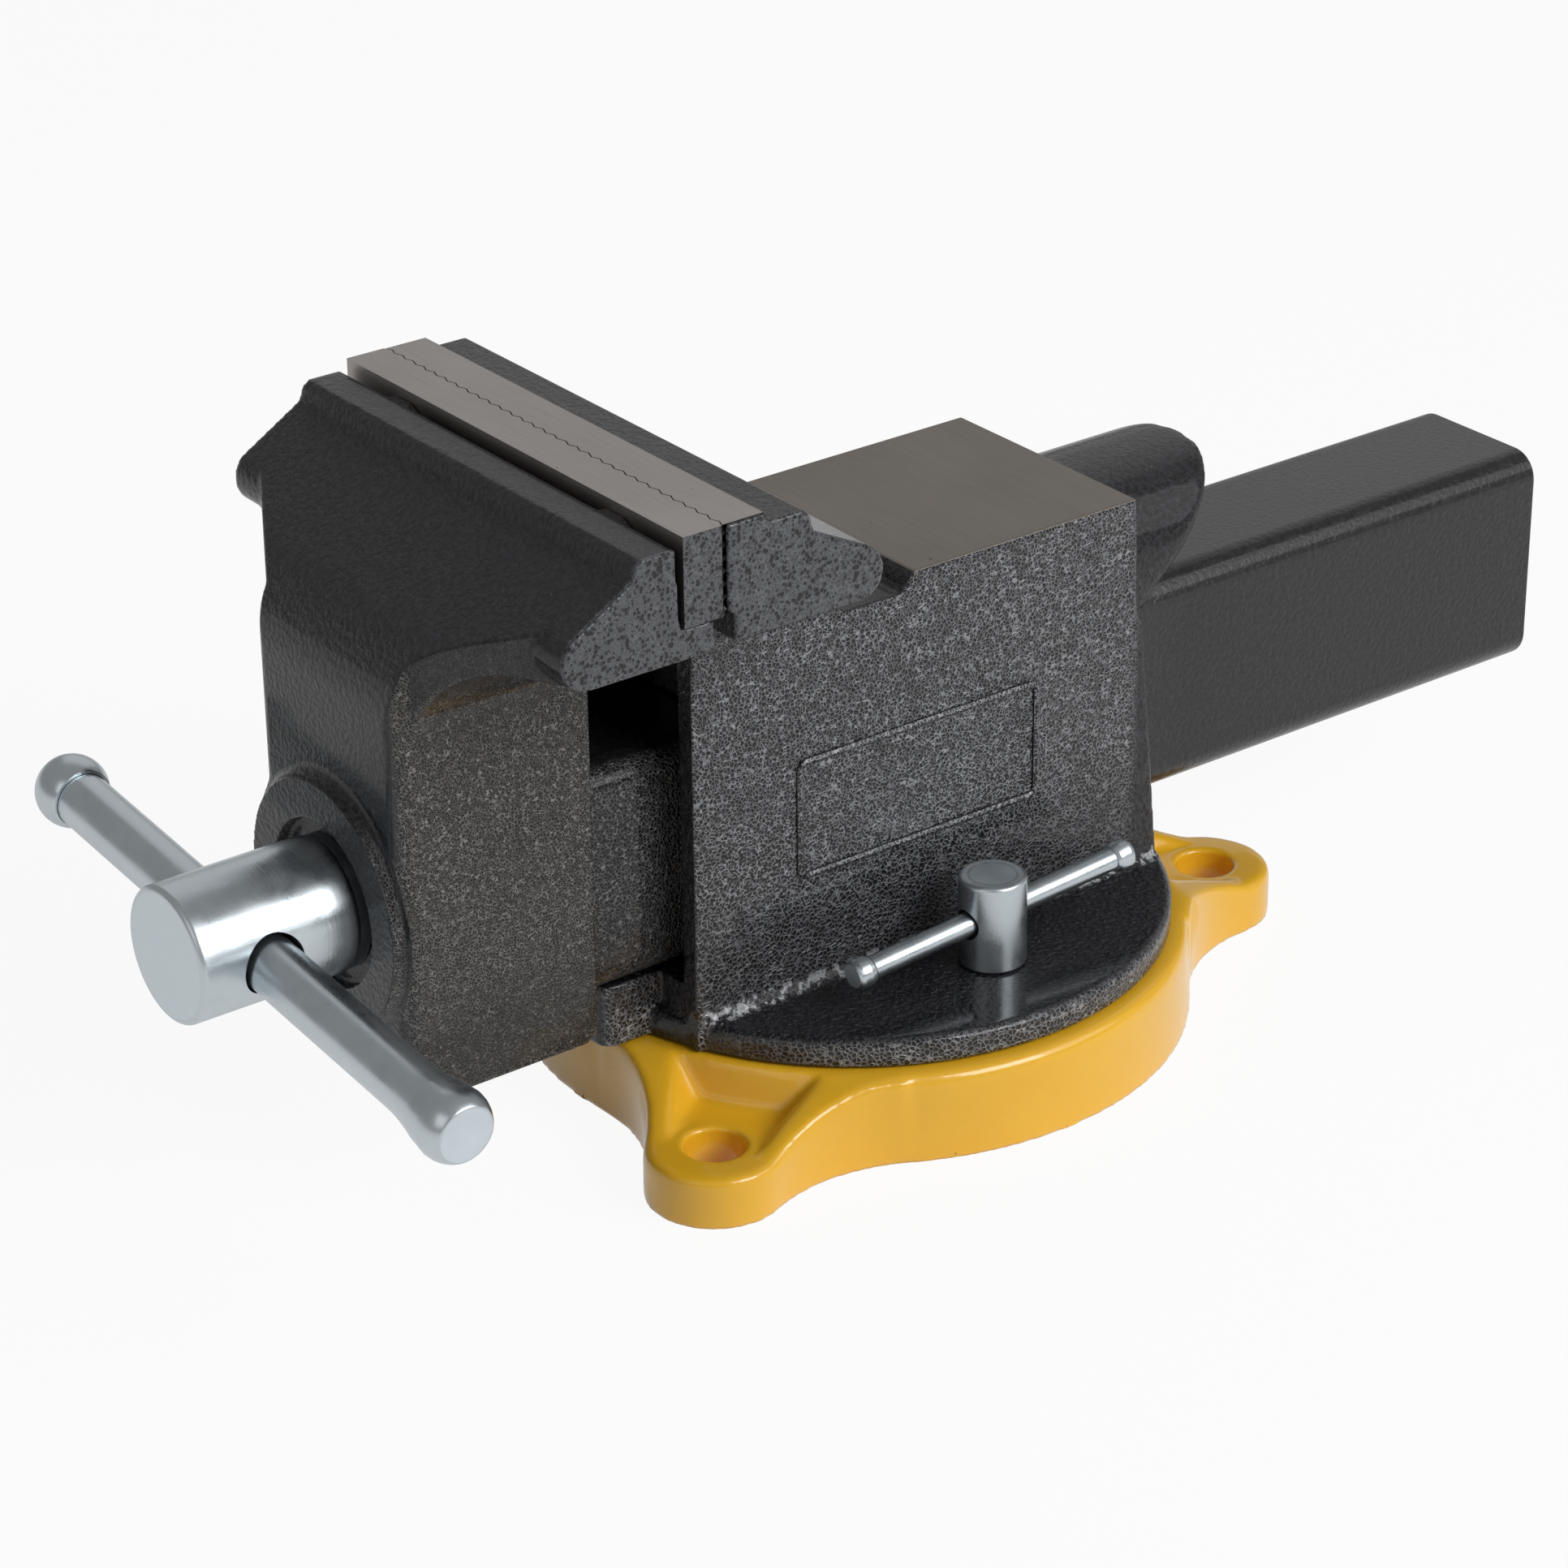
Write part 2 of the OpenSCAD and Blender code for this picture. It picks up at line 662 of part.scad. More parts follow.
// Coil spring that keeps the screw head drawn against the moving jaw
module jaw_spring() {
    turns = 4;
    steps = 20;
    sides = 8;
    length = beam_front - collar_y - 2 * spring_wire_r - 4 * seat;
    rings = [for (i = [0:turns * steps])
        let (a = i * 360 / steps, y = length * i / (turns * steps))
        [for (j = [0:sides - 1])
            let (b = j * 360 / sides, r = spring_r + spring_wire_r * cos(b))
            [r * cos(a), y + spring_wire_r * sin(b), r * sin(a)]]];
    n = len(rings);
    walls = [for (i = [0:n - 2], j = [0:sides - 1])
        [i * sides + j, (i + 1) * sides + j, (i + 1) * sides + (j + 1) % sides, i * sides + (j + 1) % sides]];
    ends = [[for (j = [0:sides - 1]) j], [for (j = [sides - 1:-1:0]) (n - 1) * sides + j]];
    color(steel) translate([0, -beam_front + spring_wire_r + 1.5 * seat, screw_z])
        polyhedron([for (ring = rings) each ring], concat(walls, ends), convexity = 8);
}

// ---- screw and handle ----

// Places a shape drawn along Z on the axis of the pin through collar and screw
module at_collar_pin() { translate([0, collar_l / 2 - collar_y, screw_z]) children(); }

module collar_pin_hole() {
    at_collar_pin() cylinder(r = collar_pin_r + run_fit, h = 3 * collar_r, center = true);
}

// Places shapes drawn along X on the axis of the handle, drop below the axis of the screw
module on_handle(drop) { translate([0, -hole_y, screw_z - drop]) rotate([0, handle_tilt, 0]) children(); }

module main_screw() {
    chamfer = 0.8;
    color(steel) difference() {
        union() {
            translate([0, -head_front, screw_z]) rotate([-90, 0, 0]) rotate_extrude($fn = 96) polygon([
                [0, 0], [head_r - chamfer, 0], [head_r, chamfer], [head_r, head_front - shoulder_y - chamfer],
                [head_r - chamfer, head_front - shoulder_y], [0, head_front - shoulder_y]
            ]);
            rod_y(screw_r, -shoulder_y - 1, screw_tail - 2);
            translate([0, screw_tail - 2, screw_z]) rotate([-90, 0, 0])
                cylinder(r1 = screw_r, r2 = screw_r - 2, h = 2);
        }
        on_handle(0) rotate([0, 90, 0]) cylinder(r = handle_hole_r, h = 4 * head_r, center = true);
        collar_pin_hole();
    }
}

module screw_collar() {
    color(steel) difference() {
        rod_y(collar_r, -collar_y, -collar_y + collar_l);
        rod_y(screw_r + run_fit, -collar_y - eps, -collar_y + collar_l + eps);
        collar_pin_hole();
    }
}

module collar_pin() {
    color(steel) at_collar_pin() cylinder(r = collar_pin_r, h = 2 * collar_r - 0.6, center = true);
}

// Round end at x with a flat outer face; dir is the outward side
module knob(x, dir) {
    translate([x, 0, 0]) intersection() {
        rotate([0, 90, 0]) sphere(knob_r);
        translate([dir * (knob_flat - knob_r), 0, 0]) cube(2 * knob_r, center = true);
    }
}

// Rod with its near end forged into a flare and a knob
module handle_bar() {
    color(steel) on_handle(handle_drop) {
        translate([far_x - 4, 0, 0]) rotate([0, 90, 0]) cylinder(r = rod_r, h = near_x - far_x);
        translate([near_x - 11, 0, 0]) rotate([0, 90, 0])
            cylinder(r1 = rod_r - 0.05, r2 = knob_r - 0.7, h = 8);
        knob(near_x, 1);
    }
}

// Cap pressed over the far end
module handle_cap() {
    rim_x = far_x + knob_r - 3.9;
    color(steel) on_handle(handle_drop) difference() {
        knob(far_x, -1);
        translate([rim_x, -knob_r, -knob_r]) cube(2 * knob_r);
        translate([far_x - 4.2, 0, 0]) rotate([0, 90, 0]) cylinder(r = rod_r + cap_fit, h = 20);
    }
}

// ---- lock bolts ----

module at_lock(side) { translate([side * lock_x, lock_y, 0]) children(); }

// Places a shape drawn along +Z on the tilted axis of a lock bar, y behind the bolt
module along_lock_bar(y) {
    translate([0, 0, lock_bar_z]) rotate([lock_bar_tilt - 90, 0, 0]) translate([0, 0, y]) children();
}

module lock_bolt(side) {
    chamfer = 0.7;
    z0 = swivel_top + seat;
    color(steel) at_lock(side) difference() {
        union() {
            translate([0, 0, z0]) rotate_extrude() polygon([
                [0, 0], [lock_head_r - chamfer, 0], [lock_head_r, chamfer],
                [lock_head_r, lock_head_h - chamfer], [lock_head_r - chamfer, lock_head_h], [0, lock_head_h]
            ]);
            translate([0, 0, slot_floor_z + 0.8]) cylinder(r = lock_r, h = z0 - slot_floor_z);
        }
        along_lock_bar(-20) cylinder(r = lock_hole_r, h = 40);
    }
}

// Profile of a lock bar's end, (r, length): low shoulder, drum, rounded rim
module lock_knob(hole_r) {
    rotate_extrude() polygon([
        [hole_r, 0], [lock_rod_r + 0.35, 0], [lock_knob_r - 0.25, 0.7], [lock_knob_r, 1.7],
        [lock_knob_r, lock_knob_l - 1.2], [lock_knob_r - 0.25, lock_knob_l - 0.4],
        [lock_knob_r - 0.8, lock_knob_l], [0, lock_knob_l],
        [0, lock_knob_l - 1.5], [hole_r, lock_knob_l - 1.5]
    ]);
}

module lock_bar(side) {
    color(steel) at_lock(side) {
        along_lock_bar(-lock_bar_l / 2 + 2) cylinder(r = lock_rod_r, h = lock_bar_l - lock_knob_l);
        along_lock_bar(lock_bar_l / 2 - lock_knob_l) lock_knob(0);
    }
}

module lock_cap(side) {
    color(steel) at_lock(side) along_lock_bar(-lock_bar_l / 2 + lock_knob_l) rotate([180, 0, 0])
        lock_knob(lock_rod_r + cap_fit);
}

swivel_base();
fixed_body();
jaw_plate(1);  // fixed_jaw_plate
jaw_screws(1);  // fixed_jaw_screws
main_nut();
nut_bolt();
pivot_bolt();
pivot_washer();
clamp_nuts();
moving_jaw();
jaw_plate(-1);  // moving_jaw_plate
jaw_screws(-1);  // moving_jaw_screws
slide_beam();
beam_bolts();
thrust_washer();
jaw_spring();
main_screw();
screw_collar();
collar_pin();
handle_bar();
handle_cap();
lock_bolt(1);  // lock_bolt_right
lock_bar(1);  // lock_bar_right
lock_cap(1);  // lock_cap_right
lock_bolt(-1);  // lock_bolt_left
lock_bar(-1);  // lock_bar_left
lock_cap(-1);  // lock_cap_left
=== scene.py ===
import json
import math

import bmesh
import bpy
from mathutils import Matrix, Vector


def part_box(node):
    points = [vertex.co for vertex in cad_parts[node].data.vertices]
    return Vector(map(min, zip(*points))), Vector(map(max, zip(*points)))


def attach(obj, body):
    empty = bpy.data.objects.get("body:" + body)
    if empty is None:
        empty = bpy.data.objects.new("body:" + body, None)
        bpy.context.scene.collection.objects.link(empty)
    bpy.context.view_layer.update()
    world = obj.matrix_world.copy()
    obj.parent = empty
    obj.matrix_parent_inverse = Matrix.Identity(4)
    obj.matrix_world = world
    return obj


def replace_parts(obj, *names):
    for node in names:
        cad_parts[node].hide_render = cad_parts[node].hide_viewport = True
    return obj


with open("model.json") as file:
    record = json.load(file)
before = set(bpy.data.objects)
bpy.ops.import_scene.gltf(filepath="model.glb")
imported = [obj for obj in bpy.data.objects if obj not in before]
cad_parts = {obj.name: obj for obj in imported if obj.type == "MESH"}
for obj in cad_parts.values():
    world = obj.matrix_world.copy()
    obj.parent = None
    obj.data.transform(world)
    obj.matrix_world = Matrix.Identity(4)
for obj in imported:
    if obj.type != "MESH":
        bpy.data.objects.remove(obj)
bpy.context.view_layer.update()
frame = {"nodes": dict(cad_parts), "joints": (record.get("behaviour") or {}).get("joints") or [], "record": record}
MM = 0.001


# ---- Swivel base ----
# Grey iron casting: a disc with three lugs, bolted to the bench. Its corners come rounded out of the sand
# mould, and a thick coat of yellow enamel rounds them further and runs smooth into the hollow ones.
def linear(colour):
    """An sRGB hex colour as the linear one that shaders take."""
    parts = [int(colour[i : i + 2], 16) / 255 for i in (1, 3, 5)]
    return [c / 12.92 if c < 0.04045 else ((c + 0.055) / 1.055) ** 2.4 for c in parts] + [1]


def add(tree, kind, inputs=None, **settings):
    """Adds a node with its settings. An input, by name or number, gets a value, a socket or another node."""
    node = tree.nodes.new(kind)
    for name, value in settings.items():
        setattr(node, name, value)
    for name, value in (inputs or {}).items():
        if isinstance(value, bpy.types.Node):
            value = value.outputs[0]
        if isinstance(value, bpy.types.NodeSocket):
            tree.links.new(value, node.inputs[name])
        else:
            node.inputs[name].default_value = value
    return node


def new_piece(name, mesh, body, slot, *materials):
    """A finished mesh as a piece that rides on its body. Its faces keep their material numbers."""
    numbers = [face.material_index for face in mesh.polygons]
    mesh.materials.clear()
    for material in materials:
        mesh.materials.append(material)
    mesh.polygons.foreach_set("material_index", numbers)
    piece = bpy.data.objects.new(name, mesh)
    bpy.context.scene.collection.objects.link(piece)
    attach(piece, body)
    return piece


def merged_copy(node):
    """The mesh of a CAD node, its loose triangles joined."""
    mesh = frame["nodes"][node].data.copy()
    work = bmesh.new()
    work.from_mesh(mesh)
    bmesh.ops.remove_doubles(work, verts=work.verts, dist=0.002 * MM)
    work.to_mesh(mesh)
    work.free()
    return mesh


def with_modifiers(mesh, *modifiers):
    """The mesh after modifiers, each given as its type and its settings."""
    holder = bpy.data.objects.new("holder", mesh)
    bpy.context.scene.collection.objects.link(holder)
    for kind, settings in modifiers:
        modifier = holder.modifiers.new(kind, kind)
        for name, value in settings.items():
            setattr(modifier, name, value)
    bpy.context.view_layer.update()
    graph = bpy.context.evaluated_depsgraph_get()
    done = bpy.data.meshes.new_from_object(holder.evaluated_get(graph))
    bpy.data.objects.remove(holder)
    return done


def cast_skin(mesh, grain, passes, most, dressed=None, rounds=70):
    """The mesh with its corners rounded as a casting's are: rebuilt in facets of grain, relaxed, and thinned.

    Where dressed(point) is true the corners are rounded further, by as many rounds of smoothing."""
    rebuilt = with_modifiers(mesh, ("REMESH", {"mode": "VOXEL", "voxel_size": grain}))
    if dressed:
        work = bmesh.new()
        work.from_mesh(rebuilt)
        spots = [v for v in work.verts if dressed(v.co)]
        for _ in range(rounds):
            bmesh.ops.smooth_vert(
                work, verts=spots, factor=0.5, use_axis_x=True, use_axis_y=True, use_axis_z=True
            )
        work.to_mesh(rebuilt)
        work.free()
    share = min(1, most / (2 * len(rebuilt.polygons)))
    skin = with_modifiers(
        rebuilt,
        ("SMOOTH", {"factor": 0.5, "iterations": passes}),
        ("DECIMATE", {"ratio": share}),
    )
    skin.shade_smooth()
    return with_modifiers(skin, ("WEIGHTED_NORMAL", {"weight": 50, "keep_sharp": True}))


# Gloss enamel over sanded filler: deep even colour, sharp lamp reflections that waver a little, and a few
# dust pits.
enamel = bpy.data.materials.new("gloss_yellow_enamel")
enamel.use_nodes = True
tree = enamel.node_tree
place = add(tree, "ShaderNodeTexCoord").outputs["Object"]
drift = add(tree, "ShaderNodeTexNoise", {"Vector": place, "Scale": 45, "Detail": 3})
tone = add(tree, "ShaderNodeMix", {0: drift, 6: linear("#f3b61d"), 7: linear("#fac22c")}, data_type="RGBA")
pit = add(tree, "ShaderNodeTexVoronoi", {"Vector": place, "Scale": 90})
pit_edge = add(tree, "ShaderNodeMapRange", {0: pit, 1: 0.015, 2: 0.04})
pit_colour = add(
    tree, "ShaderNodeMix", {0: pit_edge, 6: linear("#a3741c"), 7: tone.outputs[2]}, data_type="RGBA"
)
wave = add(tree, "ShaderNodeTexNoise", {"Vector": place, "Scale": 190, "Detail": 2})
relief = add(tree, "ShaderNodeMath", {0: wave, 1: pit_edge}, operation="ADD")
bump = add(tree, "ShaderNodeBump", {"Height": relief, "Strength": 0.5, "Distance": 0.16 * MM})
shader = tree.nodes["Principled BSDF"]
tree.links.new(pit_colour.outputs[2], shader.inputs["Base Color"])
tree.links.new(bump.outputs[0], shader.inputs["Normal"])
shader.inputs["Roughness"].default_value = 0.3
shader.inputs["IOR"].default_value = 1.5
shader.inputs["Coat Weight"].default_value = 0.6
shader.inputs["Coat Roughness"].default_value = 0.05

# the filler smooths the pockets of the lugs and the rim, but leaves the bolt holes as they were cast
bench_bolts = [Vector(m["pos_m"]).xy for m in frame["record"]["mounts"] if m["name"].startswith("bench_bolt")]
bolt_rim_r, track_r, foot_h = 10.5 * MM, 76 * MM, 4 * MM


def filled(point):
    """Where the filler lies: outside the swivel's track and clear of the bolt holes."""
    clear = min((point.xy - bolt).length for bolt in bench_bolts) > bolt_rim_r
    return clear and point.z > foot_h and point.xy.length > track_r


mesh = cast_skin(merged_copy("swivel_base"), 0.65 * MM, 5, 150000, dressed=filled, rounds=22)
# the underside is machined flat, so that the base stands on the bench all round
flat_z, blend_z = 0.6 * MM, 1.4 * MM
for vertex in mesh.vertices:
    if vertex.co.z < blend_z:
        vertex.co.z = max(0, (vertex.co.z - flat_z) * blend_z / (blend_z - flat_z))
base = new_piece("swivel_base_casting", mesh, "base", "yellow_enamel", enamel)
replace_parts(base, "swivel_base")


# ---- Fixed body ----
# Ductile iron casting: swivel plate, column, anvil, horn and fixed jaw in one. It is sprayed with
# hammer-finish paint, and the anvil is ground flat and left bare afterwards. The paint also bridges the end
# joints of the jaw plate.
def hammer_paint(name, low_cell, high_cell, fade=None, grit=4, net_colour_and_glint="#98999d", foot=None, wet=False):
    """Hammer-finish paint with cells of two widths, low down and high up.

    The net ends between the two Y of fade. grit is how high the leathery relief stands where there is no
    net, and the colour given for the net is that of its veins, which is partly painted highlight. Wet paint has
    run together and keeps hardly any relief. foot is the |X| and Z of a hollow corner that gets painted glints."""
    material = bpy.data.materials.new(name)
    material.use_nodes = True
    tree = material.node_tree
    where = add(tree, "ShaderNodeTexCoord")
    place = where.outputs["Object"]
    spot = add(tree, "ShaderNodeSeparateXYZ", {0: place})
    facing = add(tree, "ShaderNodeSeparateXYZ", {0: where.outputs["Normal"]})
    # The flow of the paint draws the cells of the finish apart, and they are larger low down
    flow = add(tree, "ShaderNodeTexNoise", {"Vector": place, "Scale": 420, "Detail": 1})
    drawn = add(
        tree, "ShaderNodeVectorMath", {0: flow.outputs["Color"], 1: (-0.5, -0.5, -0.5)}, operation="ADD"
    )
    pull = [0.4 * low_cell] * 3
    shifted = add(tree, "ShaderNodeVectorMath", {0: drawn, 1: pull, 2: place}, operation="MULTIPLY_ADD")
    nets = [
        add(tree, "ShaderNodeTexVoronoi", {"Vector": shifted, "Scale": 1 / cell}, feature="DISTANCE_TO_EDGE")
        for cell in (low_cell, high_cell)
    ]
    lifted = add(tree, "ShaderNodeMapRange", {0: spot.outputs["Z"], 1: 35 * MM, 2: 85 * MM})
    ridge = add(tree, "ShaderNodeMix", {0: lifted, 2: nets[0], 3: nets[1]})
    # The net goes on faces that face along X, where the lamps on the right catch its ridges, so its light
    # veins there are partly painted highlight; elsewhere the coat lies like leather
    lean = add(tree, "ShaderNodeMath", {0: facing.outputs["X"]}, operation="ABSOLUTE")
    netted = add(tree, "ShaderNodeMapRange", {0: lean, 1: 0.4, 2: 0.8})
    if fade:
        front = add(tree, "ShaderNodeMapRange", {0: spot.outputs["Y"], 1: fade[0], 2: fade[1], 3: 1, 4: 0})
        netted = add(tree, "ShaderNodeMath", {0: netted, 1: front}, operation="MULTIPLY")
    # The veins on the ridges between the cells are lighter, unevenly: partly the finish's own colour, partly
    # painted highlight
    patch = add(tree, "ShaderNodeTexNoise", {"Vector": place, "Scale": 480, "Detail": 2})
    uneven_glint = add(tree, "ShaderNodeMapRange", {0: patch, 1: 0.36, 2: 0.64, 3: 0.5, 4: 1})
    line = add(
        tree, "ShaderNodeMapRange", {0: ridge, 1: 0.04, 2: 0.14, 3: 1, 4: 0}, interpolation_type="SMOOTHSTEP"
    )
    drawn_line = add(tree, "ShaderNodeMath", {0: line, 1: uneven_glint}, operation="MULTIPLY")
    # the net's veins are dimmer low on the walls, between these heights
    foot_low, foot_high, least = (27.5 * MM, 31.5 * MM), (44 * MM, 62 * MM), 0.5
    under = add(
        tree, "ShaderNodeMapRange", {0: spot.outputs["Z"], 1: foot_low[0], 2: foot_low[1], 3: 1, 4: least}
    )
    over = add(
        tree, "ShaderNodeMapRange", {0: spot.outputs["Z"], 1: foot_high[0], 2: foot_high[1], 3: least, 4: 1}
    )
    vein_share_by_height = add(tree, "ShaderNodeMath", {0: under, 1: over}, operation="MAXIMUM")
    netted_by_height = add(tree, "ShaderNodeMath", {0: netted, 1: vein_share_by_height}, operation="MULTIPLY")
    vein_glint = add(tree, "ShaderNodeMath", {0: drawn_line, 1: netted_by_height}, operation="MULTIPLY")
    pool = add(tree, "ShaderNodeTexNoise", {"Vector": place, "Scale": 170, "Detail": 4})
    pooled = add(tree, "ShaderNodeMapRange", {0: pool, 1: 0.35, 2: 0.65})
    cells = add(
        tree, "ShaderNodeMix", {0: pooled, 6: linear("#111113"), 7: linear("#242427")}, data_type="RGBA"
    )
    grain = add(tree, "ShaderNodeTexNoise", {"Vector": place, "Scale": 760, "Detail": 3.5})
    crest = add(tree, "ShaderNodeMapRange", {0: grain, 1: 0.38, 2: 0.66})
    # painted shade darkens the low spots of the leathery coat and painted sheen lightens its high spots, more
    # on a coarse coat than on a satin one
    hollow_shade, crest_sheen = ("#08080a", "#2d2d33") if grit > 2 else ("#19191a", "#272728")
    shaded_leather = add(tree, "ShaderNodeMix", {0: crest, 6: linear(hollow_shade), 7: linear(crest_sheen)}, data_type="RGBA")
    ground = add(
        tree, "ShaderNodeMix", {0: netted, 6: shaded_leather.outputs[2], 7: cells.outputs[2]}, data_type="RGBA"
    )
    # the light veins over the ground: partly the net's own colour, partly painted highlight
    net = add(tree, "ShaderNodeMix", {0: vein_glint, 6: ground.outputs[2], 7: linear(net_colour_and_glint)}, data_type="RGBA")
    side = add(tree, "ShaderNodeMath", {0: spot.outputs["X"]}, operation="ABSOLUTE")
    # painted glints: light flecks in the hollow corner at the foot of each wall stand in for lamp reflections
    if foot:
        painted_glints = add(tree, "ShaderNodeMapRange", {0: patch, 1: 0.49, 2: 0.57})
        for place_along, (lowest, highest) in zip((side, spot.outputs["Z"]), foot):
            above = add(tree, "ShaderNodeMapRange", {0: place_along, 1: lowest, 2: lowest + 0.3 * MM})
            below = add(
                tree, "ShaderNodeMapRange", {0: place_along, 1: highest - 1 * MM, 2: highest, 3: 1, 4: 0}
            )
            painted_glints = add(tree, "ShaderNodeMath", {0: painted_glints, 1: above}, operation="MULTIPLY")
            painted_glints = add(tree, "ShaderNodeMath", {0: painted_glints, 1: below}, operation="MULTIPLY")
        net = add(
            tree, "ShaderNodeMix", {0: painted_glints, 6: net.outputs[2], 7: linear("#b9babd")}, data_type="RGBA"
        )
    # On the end faces of the jaw the coat is thicker: grey, with small pits instead of a net; the pits are
    # coloured dark as painted shade
    pit_pitch, end_x, end_z = 1.05 * MM, (62.2 * MM, 62.9 * MM), (126 * MM, 128 * MM)
    craters = add(tree, "ShaderNodeTexVoronoi", {"Vector": shifted, "Scale": 1 / pit_pitch})
    depth = add(tree, "ShaderNodeMath", {0: patch, 1: 0.9, 2: craters}, operation="MULTIPLY_ADD")
    hole = add(tree, "ShaderNodeMapRange", {0: depth, 1: 0.62, 2: 0.88})
    smooth = add(
        tree, "ShaderNodeMix", {0: drawn_line, 6: linear("#434447"), 7: linear("#626367")}, data_type="RGBA"
    )
    pits_with_painted_shade = add(
        tree, "ShaderNodeMix", {0: hole, 6: linear("#0c0c0e"), 7: smooth.outputs[2]}, data_type="RGBA"
    )
    outside = add(tree, "ShaderNodeMapRange", {0: side, 1: end_x[0], 2: end_x[1]})
    above = add(tree, "ShaderNodeMapRange", {0: spot.outputs["Z"], 1: end_z[0], 2: end_z[1]})
    end = add(tree, "ShaderNodeMath", {0: outside, 1: above}, operation="MULTIPLY")
    colour = add(tree, "ShaderNodeMix", {0: end, 6: net.outputs[2], 7: pits_with_painted_shade.outputs[2]}, data_type="RGBA")
    raised = add(tree, "ShaderNodeMapRange", {0: ridge, 1: 0, 2: 0.4, 3: 1, 4: 0})
    leather = add(tree, "ShaderNodeMath", {0: grain, 1: grit}, operation="MULTIPLY")
    relief = add(tree, "ShaderNodeMix", {0: netted, 2: leather, 3: raised})
    height = add(tree, "ShaderNodeMix", {0: end, 2: relief, 3: hole})
    bump = add(
        tree, "ShaderNodeBump", {"Height": height, "Strength": 1, "Distance": (0.1 if wet else 0.5) * MM}
    )
    shader = tree.nodes["Principled BSDF"]
    tree.links.new(colour.outputs[2], shader.inputs["Base Color"])
    tree.links.new(bump.outputs[0], shader.inputs["Normal"])
    shader.inputs["Roughness"].default_value = 0.34
    shader.inputs["Metallic"].default_value = 0.15
    shader.inputs["Specular IOR Level"].default_value = 0.3
    shader.inputs["Coat Weight"].default_value = 0.5
    shader.inputs["Coat Roughness"].default_value = 0.1
    return material


# The net ends where the side walls turn into the horn. The frames on the walls are low enough for the paint
# to have run together over them.
# the hollow corner at the foot of each wall gets painted glints, light flecks for the lamp's reflection
wall_back, corner = (56 * MM, 60 * MM), ((31.9 * MM, 35.2 * MM), (28.6 * MM, 32 * MM))
hammered = hammer_paint("hammer_finish_paint", 1.15 * MM, 0.95 * MM, fade=wall_back, foot=corner)
run_paint = hammer_paint("hammer_finish_paint_run", 1.15 * MM, 0.95 * MM, fade=wall_back, wet=True)

# Ground iron: brown-grey, dull, with the wheel's fine marks across the vise and a few open pores.
ground_iron = bpy.data.materials.new("ground_cast_iron")
ground_iron.use_nodes = True
tree = ground_iron.node_tree
place = add(tree, "ShaderNodeTexCoord").outputs["Object"]
# marks 0.4 mm apart, drawn coarser than the grit's 0.1 mm so that they show
along = add(tree, "ShaderNodeMapping", {"Vector": place, "Scale": (60, 2500, 60)})
marks = add(tree, "ShaderNodeTexNoise", {"Vector": along, "Scale": 1, "Detail": 4})
tint = add(tree, "ShaderNodeTexNoise", {"Vector": place, "Scale": 30, "Detail": 4})
blotch = add(tree, "ShaderNodeMix", {0: tint, 6: linear("#756e67"), 7: linear("#8c857d")}, data_type="RGBA")
line = add(tree, "ShaderNodeMapRange", {0: marks, 1: 0.3, 2: 0.7, 3: 0.92, 4: 1.05})
struck = add(
    tree, "ShaderNodeVectorMath", {0: blotch.outputs[2], "Scale": line.outputs[0]}, operation="SCALE"
)
pore = add(tree, "ShaderNodeTexVoronoi", {"Vector": place, "Scale": 130})
open_pore = add(tree, "ShaderNodeMapRange", {0: pore, 1: 0.035, 2: 0.06})
worn = add(tree, "ShaderNodeMix", {0: open_pore, 6: linear("#3a3734"), 7: struck}, data_type="RGBA")
bump = add(tree, "ShaderNodeBump", {"Height": marks, "Strength": 0.25, "Distance": 0.02 * MM})
shader = tree.nodes["Principled BSDF"]
tree.links.new(worn.outputs[2], shader.inputs["Base Color"])
tree.links.new(bump.outputs[0], shader.inputs["Normal"])
shader.inputs["Metallic"].default_value = 1.0
shader.inputs["Roughness"].default_value = 0.42

plate_lo, plate_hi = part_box("fixed_jaw_plate")
mesh = merged_copy("fixed_body")
work = bmesh.new()
work.from_mesh(mesh)
# filling of paint over both end joints of the plate: beside the plate, and down over its shelf
skin_t, overlap = 1.6 * MM, 1 * MM
for side in (-1, 1):
    for y0, z0, z1 in (
        (plate_lo.y + 1.2 * MM, plate_lo.z + 0.1 * MM, plate_hi.z - 0.35 * MM),
        (plate_lo.y + 3.6 * MM, plate_lo.z - 1.5 * MM, plate_lo.z + overlap),
    ):
        y1 = plate_hi.y + overlap
        x = side * (plate_hi.x - skin_t / 2)
        size = Matrix.Diagonal((skin_t, y1 - y0, z1 - z0, 1))
        bmesh.ops.create_cube(
            work, size=1, matrix=Matrix.Translation((x, (y0 + y1) / 2, (z0 + z1) / 2)) @ size
        )
work.to_mesh(mesh)
work.free()
wall_x = 32.2 * MM
frame_y, frame_z, frame_w, frame_r = (-41 * MM, 29 * MM), (56.3 * MM, 86.3 * MM), 1.7 * MM, 3 * MM
# the low frame on the side wall is pressed flat here and laid on again below, so that it keeps its edges
for vertex in mesh.vertices:
    proud = wall_x < abs(vertex.co.x) < wall_x + 1.1 * MM
    if proud and frame_z[0] - 0.3 * MM < vertex.co.z < frame_z[1] + 0.7 * MM:
        vertex.co.x = math.copysign(wall_x, vertex.co.x)
horn_y, horn_z = 58 * MM, 92 * MM
foot_z, hollow_r, wall_end_y = 28.8 * MM, 2.6 * MM, 62 * MM


def eased(point):
    """The horn, which has no crisp edge, and the corner at the foot of each wall, where paint gathers."""
    horn = point.y > horn_y and point.z > horn_z
    beside = abs(abs(point.x) - wall_x) < hollow_r and abs(point.z - foot_z) < hollow_r
    return horn or (beside and point.y < wall_end_y)


mesh = cast_skin(mesh, 0.6 * MM, 4, 190000, dressed=eased)
